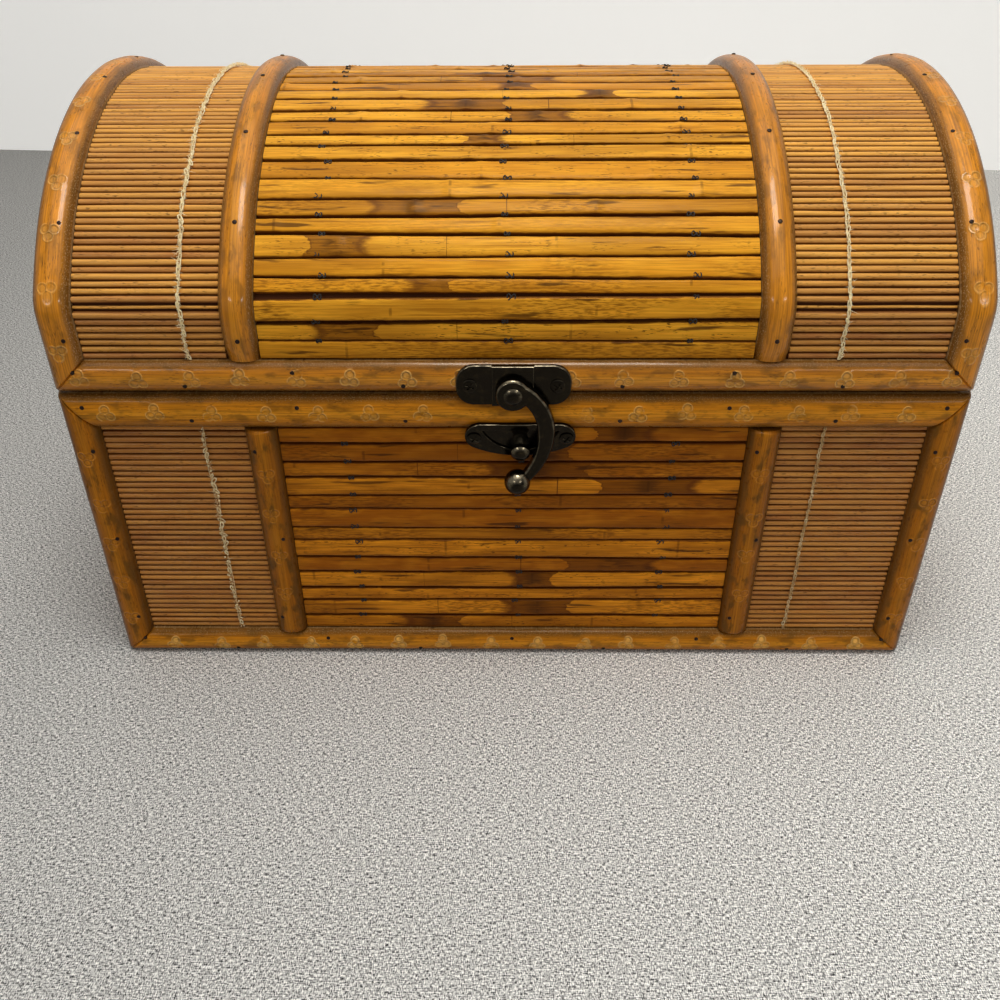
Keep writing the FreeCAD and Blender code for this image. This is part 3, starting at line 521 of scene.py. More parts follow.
def slat_skin(bench, run, streak, cloud, pale, deep, brown):
    """Whole skin: a slat's own tone from pale to deep, with streaks, long lines, broad shades and dull
    slats."""
    own = bench.math("ADD", bench.times(bench.mark("tone"), TONE_SHARE), bench.times(cloud, CLOUD_SHARE))
    skin = bench.tint(bench.mix(own, pale, deep), streak, STREAK_SHARE, brown)
    skin = bench.tint(skin, bench.ramp(bench.noise(run, LINE_GRAIN), *LINE_RAMP), LINE_SHARE, brown)
    skin = bench.tint(skin, bench.ramp(bench.noise(run, SHADE_GRAIN), *SHADE_RAMP), SHADE_SHARE, brown)
    return bench.tint(skin, bench.ramp(bench.mark("mottle"), *DULL_RAMP), DULL_SHARE, brown)


def slat_patch(bench, run, streak, cloud, skin, brown):
    """Bare wood round a node, over the skin. It reaches patch - tip * (1 - across^2) from the node, which
    gives a rounded tip, and goes over to the skin within the slat's own softness."""
    across = bench.mark("across")
    from_node = bench.math("ABSOLUTE", bench.mark("node"))
    bare = bench.tint(brown, streak, BARE_STREAK_SHARE, GROOVE_BROWN)
    core = bench.times(bench.ramp(from_node, *CORE_REACH), bench.ramp(cloud, *CORE_RAMP))
    bare = bench.tint(bare, core, CORE_SHARE, GROOVE_BROWN)
    tip = bench.times(bench.math("SUBTRACT", 1.0, bench.times(across, across)), TIP_LENGTH)
    wobble = bench.times(bench.math("SUBTRACT", bench.noise(run, TIP_GRAIN), NOISE_MIDDLE), TIP_WOBBLE)
    reach = bench.math("ADD", bench.math("SUBTRACT", bench.mark("patch"), tip), wobble)
    inside = bench.math("DIVIDE", bench.math("SUBTRACT", reach, from_node), bench.mark("soft"))
    bared = bench.times(bench.ramp(inside, -1.0, 1.0), bench.ramp(bench.mark("patch"), *PATCH_RAMP))
    border = bench.times(bench.ramp(bench.math("ABSOLUTE", inside), *BORDER_RAMP), bared)
    return bench.tint(bench.tint(skin, bared, PATCH_SHARE, bare), border, BORDER_SHARE, BORDER_AND_GAP_SHADE_BROWN)


def slat_stains(bench, run, fleck, colour, brown):
    """Mottled stains on some slats, burnt strokes on all, and specks on others."""
    mottle = bench.mark("mottle")
    stain = bench.ramp(bench.noise(run, STAIN_GRAIN, 5.0), *STAIN_RAMP)
    field = bench.ramp(bench.noise(run, FIELD_GRAIN, 1.0), *FIELD_RAMP)
    stain = bench.times(bench.times(stain, field), bench.ramp(mottle, *STAINED_RAMP))
    colour = bench.tint(colour, stain, STAIN_SHARE, bench.mix(DEEP_SHARE, brown, GROOVE_BROWN))
    burn = bench.ramp(bench.noise(run, BURN_GRAIN, 3.0), *BURN_RAMP)
    colour = bench.tint(colour, burn, BURN_SHARE, GROOVE_BROWN)
    speckle = bench.times(fleck, bench.ramp(mottle, *SPECKLED_RAMP))
    return bench.tint(colour, speckle, SPECKLE_SHARE, GROOVE_BROWN)


def slat_borders(bench, run, cloud, colour, brown):
    """A dark ring at the node, painted shade over the side of the lower edge, and ragged painted shade of the
    gaps along both edges, partly the slats' own dark edges.
    """
    across = bench.mark("across")
    from_node = bench.math("ABSOLUTE", bench.mark("node"))
    ring = bench.times(bench.ramp(from_node, *RING_REACH), bench.ramp(cloud, *RING_RAMP))
    colour = bench.tint(colour, ring, RING_SHARE, GROOVE_BROWN)
    # Painted shade: each slat darkens toward its lower edge.
    colour = bench.tint(colour, bench.ramp(across, *LOW_EDGE_SHADE_RAMP), LOW_EDGE_SHADE_SHARE, brown)
    # Painted shade of the gaps, partly the slats' own dark edges: both edges darken toward a ragged line.
    ragged = bench.math("SUBTRACT", bench.noise(run, RAGGED_GRAIN, 3.0), NOISE_MIDDLE)
    ragged = bench.times(ragged, RAGGED_SHARE)
    painted_rim = bench.ramp(bench.math("ADD", bench.math("ABSOLUTE", across), ragged), *SLAT_GAP_SHADE_RAMP)
    return bench.tint(colour, painted_rim, GAP_SHADE_SHARE, BORDER_AND_GAP_SHADE_BROWN)


def make_slat_finish(name, pale, deep, brown):
    finish, bench, shader = new_finish(name)
    run = bench.run()
    streak, cloud, fleck = fibre(bench, run)
    skin = slat_skin(bench, run, streak, cloud, pale, deep, brown)
    colour = slat_patch(bench, run, streak, cloud, skin, brown)
    colour = slat_stains(bench, run, fleck, colour, brown)
    bench.link(slat_borders(bench, run, cloud, colour, brown), shader.inputs["Base Color"])
    varnish(shader, SLAT_COAT, SLAT_SPECULAR)
    lacquer(bench, shader, run, SLAT_GLOSS, SLAT_RIPPLE_SHARE)
    return finish


lid_slat_finish = make_slat_finish(
    "lid_slat", pale=(1.0, 0.48, 0.034, 1), deep=(0.78, 0.31, 0.015, 1), brown=(0.33, 0.115, 0.006, 1))
body_slat_finish = make_slat_finish(
    "body_slat", pale=(0.98, 0.365, 0.018, 1), deep=(0.38, 0.105, 0.004, 1), brown=(0.20, 0.055, 0.003, 1))
print("finishes", lid_slat_finish.name, body_slat_finish.name)

# %% [markdown]
# ## Finish of the sticks
# Each stick has a tone of its own between pale and deep. Both its sides get painted shade, which parts it
# from its neighbours where they lie close. A texture on one sheet could show stripes, but real sticks catch
# light one by one.

# %% Stick finish
STICK_STREAK, STICK_CLOUD = (0.20, 0.07, 0.012, 1), (0.70, 0.37, 0.09, 1)
STICK_STREAK_SHARE, STICK_CLOUD_SHARE, STICK_FLECK_SHARE = 0.4, 0.25, 0.6
STICK_GAP_SHADE_RAMP = (0.55, 0.95)
STICK_COAT, STICK_SPECULAR, STICK_GLOSS, STICK_RIPPLE_SHARE = 0.2, 0.3, 0.34, 0.3


def make_stick_finish(name, pale, deep):
    finish, bench, shader = new_finish(name)
    run = bench.run()
    streak, cloud, fleck = fibre(bench, run)
    colour = bench.mix(bench.mark("tone"), pale, deep)
    colour = bench.tint(colour, streak, STICK_STREAK_SHARE, STICK_STREAK)
    colour = bench.tint(colour, cloud, STICK_CLOUD_SHARE, STICK_CLOUD)
    colour = bench.tint(colour, fleck, STICK_FLECK_SHARE, GROOVE_BROWN)
    # Painted shade on both sides of each stick, where it lies close to its neighbours.
    painted_rim = bench.ramp(bench.math("ABSOLUTE", bench.mark("across")), *STICK_GAP_SHADE_RAMP)
    bench.link(bench.tint(colour, painted_rim, GAP_SHADE_SHARE, BORDER_AND_GAP_SHADE_BROWN), shader.inputs["Base Color"])
    varnish(shader, STICK_COAT, STICK_SPECULAR)
    lacquer(bench, shader, run, STICK_GLOSS, STICK_RIPPLE_SHARE)
    return finish


lid_stick_finish = make_stick_finish("lid_stick", pale=(0.92, 0.44, 0.075, 1), deep=(0.42, 0.155, 0.042, 1))
body_stick_finish = make_stick_finish("body_stick", pale=(0.62, 0.25, 0.045, 1), deep=(0.36, 0.125, 0.03, 1))
print("finishes", lid_stick_finish.name, body_stick_finish.name)

# %% [markdown]
# ## Finish of the trims
# The trims run from pale amber on the lid to deep amber on the uprights. A painted highlight lies along the
# crowns of the rails, and the shoulders and sides carry painted shade. Along the edges of pale trims lie a
# pale line, partly the bamboo's pale edge and partly painted reflection, and dusty specks with painted sheen.
# The stamps are in the surface, and the finish paints shade into their grooves and highlights on their rims.
# On the uprights they are worn to a dull orange.

# %% Trim finish
TRIM_PALE, TRIM_DEEP = (0.88, 0.318, 0.013, 1), (0.40, 0.122, 0.004, 1)
TRIM_OLIVE, OLIVE_SHARE, TRIM_CLOUD_SHARE = (0.25, 0.10, 0.006, 1), 0.55, 0.6
TRIM_DARK, DARK_SHARE, TRIM_STREAK_SHARE = (0.13, 0.038, 0.004, 1), 0.65, 0.7
BAND_GRAIN, BAND_RAMP, BAND_SHARE = (3.0, 55.0, 1.0), (0.52, 0.7), 0.55
CROWN_HIGHLIGHT, CROWN_HIGHLIGHT_RAMP, HIGHLIGHTED_TONES = (1.0, 0.44, 0.03, 1), (0.45, 0.05), (0.2, 0.5)
UPRIGHT_TONES = (0.85, 0.6)
RAIL_HIGHLIGHT_SHARE, LEAST_HIGHLIGHT_SHARE, HIGHLIGHT_STREAK_SHARE = 0.3, 0.12, 0.7
SHOULDER_SHADE, SHOULDER_SHADE_RAMP, SHOULDER_SHADE_SHARE = (0.10, 0.04, 0.006, 1), (0.45, 0.92), 0.82
EDGE_LINE_AND_REFLECTION, EDGE_LINE_AND_REFLECTION_SHARE = (0.46, 0.32, 0.15, 1), 0.6
EDGE_START_RAMP, EDGE_END_RAMP = (0.97, 1.0), (1.07, 1.02)
SIDE_SHADE, SIDE_SHADE_RAMP, SIDE_SHADE_SHARE = (0.07, 0.028, 0.008, 1), (1.02, 1.15), 0.85
BLOTCH_BROWN, BLOTCH_GRAIN, BLOTCH_RAMP = (0.11, 0.047, 0.006, 1), (11.0, 26.0, 1.0), (0.5, 0.66)
SOILED_TONE_SHARE, LEAST_SOILED_SHARE = 0.5, 0.3
DUST_AND_SHEEN, DUST_AND_SHEEN_GRAIN, DUST_AND_SHEEN_RAMP = (0.62, 0.42, 0.19, 1), (150.0, 420.0, 1.0), (0.52, 0.7)
DUST_AND_SHEEN_SIDE_RAMP, DUST_AND_SHEEN_SHARE = (0.55, 0.8), 0.55
STAMP_WEAR_GRAIN, STAMP_WEAR_RAMP = (26.0, 40.0, 1.0), (0.3, 0.56)
STAMP_FILL_RAMP, GROOVE_RAMP, OUTLINE_RAMP = (0.1, -0.4), (0.5, 0.15), (0.45, 0.1)
GROOVE_INSET, STAMP_RELIEF = 0.5, 0.3
WORN_STAMP, GILT_STAMP = (0.95, 0.36, 0.035, 1), (1.0, 0.54, 0.12, 1)
WORN_RIM_HIGHLIGHT, GILT_RIM_HIGHLIGHT, RIM_HIGHLIGHT_SHARE = (1.0, 0.42, 0.06, 1), (1.0, 0.58, 0.16, 1), 0.6
STAMP_GROOVE_SHADE, GROOVE_SHADE_SHARE, GILT_GROOVE_SHADE_SHARE = (0.11, 0.032, 0.004, 1), 0.9, 0.55
TRIM_FLECK_SHARE, TRIM_GLOSS, TRIM_RIPPLE_SHARE = 0.5, 0.32, 0.3
LID_TRIM_COAT, LID_TRIM_SPECULAR = 0.4, 0.3
BODY_TRIM_COAT, BODY_TRIM_SPECULAR = 0.1, 0.18


def trim_wood(bench, run, streak, cloud):
    """Amber by the trim's own tone, clouded with olive, with dark streaks and broad dark bands."""
    amber = bench.mix(bench.mark("tone"), TRIM_PALE, TRIM_DEEP)
    amber = bench.tint(amber, cloud, TRIM_CLOUD_SHARE, bench.mix(OLIVE_SHARE, amber, TRIM_OLIVE))
    dark = bench.mix(DARK_SHARE, amber, TRIM_DARK)
    amber = bench.tint(amber, streak, TRIM_STREAK_SHARE, dark)
    return bench.tint(amber, bench.ramp(bench.noise(run, BAND_GRAIN, 3.0), *BAND_RAMP), BAND_SHARE, dark)


def trim_round(bench, streak, gilt, clean, amber):
    """A painted highlight along the crown, painted shade on the shoulders, a pale line at the edges of pale
    trims that is partly the bamboo's pale edge and partly painted reflection, and painted shade on the sides.
    """
    side = bench.mark("side")
    crown_highlight = bench.times(bench.ramp(side, *CROWN_HIGHLIGHT_RAMP), bench.ramp(bench.mark("tone"), *HIGHLIGHTED_TONES))
    highlight_share = bench.math("ADD", bench.times(gilt, RAIL_HIGHLIGHT_SHARE), LEAST_HIGHLIGHT_SHARE)
    highlight_share = bench.times(highlight_share, bench.math("SUBTRACT", 1.0, bench.times(streak, HIGHLIGHT_STREAK_SHARE)))
    # Painted highlight: the crown is lightened toward a pale amber.
    amber = bench.tint(amber, crown_highlight, highlight_share, CROWN_HIGHLIGHT)
    # Painted shade on the shoulders of the crown.
    amber = bench.tint(amber, bench.ramp(side, *SHOULDER_SHADE_RAMP), SHOULDER_SHADE_SHARE, SHOULDER_SHADE)
    # A pale line at the crown's edge on pale trims, partly the bamboo's pale edge and partly painted
    # reflection.
    edge = bench.times(bench.ramp(side, *EDGE_START_RAMP), bench.ramp(side, *EDGE_END_RAMP))
    amber = bench.tint(amber, edge, bench.times(clean, EDGE_LINE_AND_REFLECTION_SHARE), EDGE_LINE_AND_REFLECTION)
    # Painted shade on the side faces below the crown.
    return bench.tint(amber, bench.ramp(side, *SIDE_SHADE_RAMP), SIDE_SHADE_SHARE, SIDE_SHADE)


def trim_soil(bench, run, clean, amber):
    """Brown blotches, most of them on deep trims, and pale dusty specks with painted sheen on the shoulders
    of pale ones.
    """
    soiled = bench.math("ADD", bench.times(bench.mark("tone"), SOILED_TONE_SHARE), LEAST_SOILED_SHARE)
    blotch = bench.ramp(bench.noise(run, BLOTCH_GRAIN, 3.0), *BLOTCH_RAMP)
    amber = bench.tint(amber, blotch, soiled, BLOTCH_BROWN)
    # Pale specks on the shoulders, partly dust and partly painted sheen.
    dust_and_sheen = bench.ramp(bench.noise(run, DUST_AND_SHEEN_GRAIN), *DUST_AND_SHEEN_RAMP)
    dust_and_sheen = bench.times(dust_and_sheen, bench.ramp(bench.mark("side"), *DUST_AND_SHEEN_SIDE_RAMP))
    return bench.tint(amber, dust_and_sheen, bench.times(clean, DUST_AND_SHEEN_SHARE), DUST_AND_SHEEN)


def trim_stamps(bench, run, gilt, amber):
    """Fill of the stamps, painted shade in their pressed line and a painted highlight on their raised
    outline, by the distance to their outline. Returns a colour and a pressed normal."""
    wear = bench.ramp(bench.noise(run, STAMP_WEAR_GRAIN), *STAMP_WEAR_RAMP)
    strike = bench.times(bench.mark("strike"), wear)
    away = trefoil(bench)
    inside = bench.times(bench.ramp(away, *STAMP_FILL_RAMP), strike)
    amber = bench.tint(amber, inside, bench.mark("fill"), bench.mix(gilt, WORN_STAMP, GILT_STAMP))
    # Painted shade in the pressed grooves round the outline.
    groove_shade = bench.ramp(bench.math("ABSOLUTE", bench.math("ADD", away, GROOVE_INSET)), *GROOVE_RAMP)
    groove_shade = bench.times(groove_shade, strike)
    depth = bench.math("SUBTRACT", GROOVE_SHADE_SHARE, bench.times(gilt, GILT_GROOVE_SHADE_SHARE))
    amber = bench.tint(amber, groove_shade, depth, STAMP_GROOVE_SHADE)
    # Painted highlight on the raised outline.
    painted_rim = bench.times(bench.ramp(bench.math("ABSOLUTE", away), *OUTLINE_RAMP), strike)
    amber = bench.tint(amber, painted_rim, RIM_HIGHLIGHT_SHARE, bench.mix(gilt, WORN_RIM_HIGHLIGHT, GILT_RIM_HIGHLIGHT))
    return amber, bench.bump(bench.math("SUBTRACT", painted_rim, groove_shade), 1.0, STAMP_RELIEF * MM)


def make_trim_finish(name, coat, specular):
    finish, bench, shader = new_finish(name)
    run = bench.run()
    streak, cloud, fleck = fibre(bench, run)
    gilt = bench.ramp(bench.mark("tone"), *UPRIGHT_TONES)
    clean = bench.math("SUBTRACT", 1.0, bench.mark("tone"))
    amber = trim_wood(bench, run, streak, cloud)
    amber = trim_round(bench, streak, gilt, clean, amber)
    amber = trim_soil(bench, run, clean, amber)
    amber, pressed = trim_stamps(bench, run, gilt, amber)
    bench.link(bench.tint(amber, fleck, TRIM_FLECK_SHARE, GROOVE_BROWN), shader.inputs["Base Color"])
    varnish(shader, coat, specular)
    lacquer(bench, shader, run, TRIM_GLOSS, TRIM_RIPPLE_SHARE, pressed)
    return finish


lid_trim_finish = make_trim_finish("lid_trim", LID_TRIM_COAT, LID_TRIM_SPECULAR)
body_trim_finish = make_trim_finish("body_trim", BODY_TRIM_COAT, BODY_TRIM_SPECULAR)
print("finishes", lid_trim_finish.name, body_trim_finish.name)

# %% [markdown]
# ## Finishes of boards, yarn, thread and metal
# The boards are raw wood, read by place because CAD nodes have no UV map. Their outer faces are painted
# dark as shade, since only slits between slats and sticks show them. The yarn is matt cotton. The thread that
# ties the slats is nearly black. The latch is dark bronze that shows brown where hands have rubbed it, and
# its upper edges carry a painted highlight.

# %% Other finishes
BOARD_PALE, BOARD_DEEP, BOARD_STREAK = (0.50, 0.34, 0.19, 1), (0.40, 0.25, 0.13, 1), (0.30, 0.17, 0.08, 1)
BOARD_PAINTED_SHADE, SHADED_OUTSIDE_RAMP, BOARD_STREAK_SHARE = (0.075, 0.022, 0.006, 1), (0.01, 0.03), 0.4
BOARD_SCALE, BOARD_SPECULAR, BOARD_GLOSS, BOARD_RIPPLE_SHARE = (10.0, 10.0, 10.0), 0.08, 0.7, 0.4
YARN_PALE, YARN_DEEP, YARN_SOILED = (1.0, 0.90, 0.58, 1), (0.97, 0.76, 0.37, 1), (0.48, 0.27, 0.07, 1)
STRAND_GRAIN, STRAND_RAMP, STRAND_DEPTH, STRAND_SHARE = (900.0, 900.0, 900.0), (0.35, 0.75), 0.2, 0.6
SOIL_GRAIN, SOIL_RAMP, SOIL_SHARE, MOST_SOIL_SHARE = (90.0, 90.0, 90.0), (0.5, 0.75), 0.35, 0.9
YARN_ROUGHNESS, YARN_SHEEN = 0.85, 0.3
METAL_GRAIN, METAL_WEAR_RAMP, METAL_SCALE = (420.0, 420.0, 420.0), (0.5, 0.85), (9.0, 9.0, 9.0)
RUBBED_LIT_START_RAMP, RUBBED_LIT_END_RAMP = (0.2, 0.5), (0.95, 0.82)
HIGHLIGHT_UP_RAMP, RUBBED_WEAR_RAMP = (-0.3, 0.5), (0.25, 0.6)
METALLIC_SHARE, METAL_RIPPLE_SHARE = 0.95, 0.4


def make_board_finish():
    """Raw wood. A face whose normal points the same way as its place from the middle is an outer one, and it
    gets painted shade, as dark as the slits between slats and sticks."""
    finish, bench, shader = new_finish("raw_board")
    place = bench.node("ShaderNodeMapping", {"Vector": bench.place(), "Scale": BOARD_SCALE}).outputs[0]
    streak, cloud, _ = fibre(bench, place)
    colour = bench.mix(cloud, BOARD_PALE, BOARD_DEEP)
    colour = bench.tint(colour, streak, BOARD_STREAK_SHARE, BOARD_STREAK)
    inputs = {0: bench.place(), 1: bench.normal()}
    facing = bench.node("ShaderNodeVectorMath", inputs, operation="DOT_PRODUCT")
    # Painted shade: outer faces are darkened, standing for the shade in the slits between slats and sticks.
    shaded_outside = bench.ramp(facing.outputs["Value"], *SHADED_OUTSIDE_RAMP)
    bench.link(bench.mix(shaded_outside, colour, BOARD_PAINTED_SHADE), shader.inputs["Base Color"])
    shader.inputs["Specular IOR Level"].default_value = BOARD_SPECULAR
    lacquer(bench, shader, place, BOARD_GLOSS, BOARD_RIPPLE_SHARE)
    return finish


def make_yarn_finish():
    """Cream cotton, soiled by the yarn's own number and in clouds."""
    finish, bench, shader = new_finish("cream_yarn")
    strand = bench.noise(bench.place(), STRAND_GRAIN, 3.0)
    cloud = bench.ramp(bench.noise(bench.place(), SOIL_GRAIN), *SOIL_RAMP)
    colour = bench.mix(bench.ramp(strand, *STRAND_RAMP), YARN_PALE, YARN_DEEP)
    soil = bench.math("ADD", bench.mark("soil"), bench.times(cloud, SOIL_SHARE))
    soil = bench.math("MINIMUM", soil, MOST_SOIL_SHARE)
    bench.link(bench.mix(soil, colour, YARN_SOILED), shader.inputs["Base Color"])
    bench.link(bench.bump(strand, STRAND_SHARE, STRAND_DEPTH * MM), shader.inputs["Normal"])
    shader.inputs["Roughness"].default_value = YARN_ROUGHNESS
    shader.inputs["Sheen Weight"].default_value = YARN_SHEEN
    return finish


def rubbed_and_lit_edge(bench, wear):
    """Edges worn bright by hands, with a painted highlight: rounded edges, whose normal lies between the
    front's and the sides', so that its share of Y is neither small nor near one. Only edges that don't point
    down get it, which paints light from above."""
    shares = bench.node("ShaderNodeSeparateXYZ", {0: bench.normal()}).outputs
    facing = bench.math("ABSOLUTE", shares["Y"])
    edge = bench.times(bench.ramp(facing, *RUBBED_LIT_START_RAMP), bench.ramp(facing, *RUBBED_LIT_END_RAMP))
    # Painted highlight: only edges that don't point down brighten, as if lit from above.
    edge = bench.times(edge, bench.ramp(shares["Z"], *HIGHLIGHT_UP_RAMP))
    return bench.times(edge, bench.ramp(wear, *RUBBED_WEAR_RAMP))


def make_metal_finish(name, dark, worn, gloss, rubbed_and_lit=None, metallic=METALLIC_SHARE):
    """A dark patina, worn through to a warmer colour in small clouds, and bright on upper edges where asked,
    partly worn by hands and partly a painted highlight."""
    finish, bench, shader = new_finish(name)
    wear = bench.noise(bench.place(), METAL_GRAIN, 4.0)
    colour = bench.mix(bench.ramp(wear, *METAL_WEAR_RAMP), dark, worn)
    if rubbed_and_lit is not None:
        colour = bench.mix(rubbed_and_lit_edge(bench, wear), colour, rubbed_and_lit)
    bench.link(colour, shader.inputs["Base Color"])
    shader.inputs["Metallic"].default_value = metallic
    fine = bench.node("ShaderNodeMapping", {"Vector": bench.place(), "Scale": METAL_SCALE}).outputs[0]
    lacquer(bench, shader, fine, gloss, METAL_RIPPLE_SHARE)
    return finish


board_finish = make_board_finish()
yarn_finish = make_yarn_finish()
thread_finish = make_metal_finish(
    "tie_thread", dark=(0.010, 0.007, 0.005, 1), worn=(0.03, 0.018, 0.009, 1), gloss=0.7, metallic=0.0)
nail_finish = make_metal_finish(
    "dark_iron", dark=(0.03, 0.02, 0.016, 1), worn=(0.10, 0.06, 0.035, 1), gloss=0.5)
bronze_finish = make_metal_finish(
    "dark_bronze", dark=(0.014, 0.011, 0.007, 1), worn=(0.038, 0.028, 0.014, 1), gloss=0.17,
    rubbed_and_lit=(0.20, 0.165, 0.105, 1))
plain_finishes = (board_finish, yarn_finish, thread_finish, nail_finish, bronze_finish)
print("finishes", *(finish.name for finish in plain_finishes))

# %% [markdown]
# ## Half-round trims
# The trims are half-round bamboo, nailed over every edge and mitred where they meet. A box with a bevel
# would look machined. Here the section is an arc over two short sides, carried along the trim, with its
# ends cut on a slope by letting the run at each end depend on the place across.

# %% The trims' section
trim_thickness, trim_edge, ROUND_EDGE = 6.2, 2.6, 1.9
CROWN_POINTS, FULL_POWER = 34, 2.1
WAVE_COUNT, WAVE_SHARES = 4, (0.6, 1.8)


def crown_height(across, width, fullness):
    """Height of an arc through both shoulders and the crown: thickness - radius + root(radius^2 - across^2).
    With fullness it goes over to a rounder curve with steep sides: edge + rise * root(1 - share^power)."""
    rise = trim_thickness - trim_edge
    radius = (width ** 2 / 4 + rise ** 2) / (2 * rise)
    arc = trim_thickness - radius + np.sqrt(np.maximum(0, radius ** 2 - across ** 2))
    share = np.minimum(1, np.abs(across) * 2 / width)
    full = ROUND_EDGE + (trim_thickness - ROUND_EDGE) * np.sqrt(1 - share ** FULL_POWER)
    return arc + (full - arc) * fullness


def wander(run, amount, length, count=WAVE_COUNT):
    """A slow random wave: a sum of sines with random phases and lengths about the one given."""
    phases = rng.uniform(0, 2 * np.pi, count)
    lengths = length * rng.uniform(*WAVE_SHARES, count)
    waves = [np.sin(run * (2 * np.pi / each) + phase) for each, phase in zip(lengths, phases)]
    return amount * sum(waves) / count


print("trims are", trim_thickness, "mm thick")

# %% [markdown]
# ## Stamped trefoils
# A trefoil is pressed into the trims at even steps. It could be a bump in the material alone, but a pressed
# line catches light from the side, so its main form is in the surface. The outline of three overlapping
# circles is where the least of three distances is nought, and the raised rim is a bell curve of that
# distance.

# %% Stamps
RIM_HEIGHT, RIM_WIDTH, PRESS_DEPTH, PRESS_RUN = 0.2, 0.5, 0.26, 1.0
STRIKE_SHARES, STAMP_TILT, STAMP_SHIFT, SHIFT_SHARE = (0.5, 1.0), 0.10, 0.5, 0.5
stamp_pitch = 19.3
COARSE_STEP, FINE_STEP, STAMP_MARGIN, LAST_MARGIN = 2.5, 0.42, 1.0, 0.1


def trefoil_distance(along, across):
    """Distance to the outline of three circles round a middle, less than nought inside."""
    angles = np.radians(LOBE_ANGLES)[:, None, None]
    away = np.hypot(along - LOBE_REACH * np.cos(angles), across - LOBE_REACH * np.sin(angles))
    return away.min(0) - LOBE_RADIUS


def stamp_relief(run, across, first, last, turn):
    """Relief of the stamps between two runs, with each stamp a little turned and more or less deeply struck.
    Also the place of each point in the nearest stamp's own frame, and how deeply that stamp was struck."""
    count = max(1, int((last - first) / stamp_pitch) + 1)
    which = np.clip(np.round((run - first) / stamp_pitch).astype(int), 0, count - 1)
    strike = rng.uniform(*STRIKE_SHARES, count)[which]
    tilt = rng.normal(0, STAMP_TILT, count)[which]
    shift = rng.normal(0, STAMP_SHIFT, count)[which]
    aside = run - first - which * stamp_pitch - shift
    above = across + shift * SHIFT_SHARE
    cos, sin = np.cos(turn + tilt), np.sin(turn + tilt)
    along, over = aside * cos + above * sin, above * cos - aside * sin
    away = trefoil_distance(along, over)
    strike = np.where(np.abs(aside) < LOBE_REACH + LOBE_RADIUS + RIM_WIDTH, strike, 0)
    pressed = PRESS_DEPTH * np.clip(-away / PRESS_RUN, 0, 1)
    relief = RIM_HEIGHT * np.exp(-(away / RIM_WIDTH) ** 2) - pressed
    return relief * strike, along, over, strike


def stamp_stations(low, high, first, last):
    """Runs from low to high: coarse steps, and fine steps wherever a stamp lies."""
    coarse = np.linspace(low, high, max(3, int((high - low) / COARSE_STEP)))
    if first is None:
        return coarse
    reach = LOBE_REACH + LOBE_RADIUS + STAMP_MARGIN
    centres = np.arange(first, last + LAST_MARGIN, stamp_pitch)
    fine = (centres[:, None] + np.arange(-reach, reach, FINE_STEP)).ravel()
    fine = fine[(fine > low + FINE_STEP) & (fine < high - FINE_STEP)]
    clear = np.abs(coarse[:, None] - centres).min(1) > reach + FINE_STEP
    clear[[0, -1]] = True
    return np.unique(np.concatenate([coarse[clear], fine]))


print("stamps every", stamp_pitch, "mm")

# %% [markdown]
# ## Trims along a line
# A trim is its section carried along a line, straight or over the lid. Even steps would blur the stamps or
# waste points, so the steps are fine at a stamp, a recess or an end, and coarse elsewhere. A mitre could be
# a boolean cut. Here the last rows of the grid lean over to the slope, which keeps one grid for the trim.

# %% Trims along a line
SLOPE_STEPS = 14
EASE_DEPTH, EASE_LENGTH = 0.9, 0.45
EASE_RUNS = np.array([0.12, 0.3, 0.55, 1.0])
TRIM_WANDER, TRIM_WAVE = 0.12, 45.0
WORN_FILL, FAINT_FILL, PALE_FILL = 0.55, 0.4, 0.95
FOOT_SIDE, TONE_SPREAD = 1.25, 0.1
GRAIN_SPREAD = 900.0


def trim_runs(across, start, end, stamps, breaks):
    """Runs of a trim's stations x points, with the first and last run of each point. Rows slope at a mitred
    end and stand square between the ends."""
    first, last = (np.interp(across, (across.min(), across.max()), pair) for pair in (start, end))
    inner, outer = max(start), min(end)
    ends = [inner + EASE_RUNS, outer - EASE_RUNS]
    middle = np.unique(np.concatenate([stamp_stations(inner, outer, *stamps), breaks, *ends]))
    share = np.linspace(0, 1, SLOPE_STEPS)[:-1, None] ** 2
    rows = [middle[:, None] + 0 * across]
    if start[0] != start[1]:
        rows.insert(0, first + (inner - first) * share)
    if end[0] != end[1]:
        rows.append(last + (outer - last) * share[::-1])
    return np.concatenate(rows), first, last


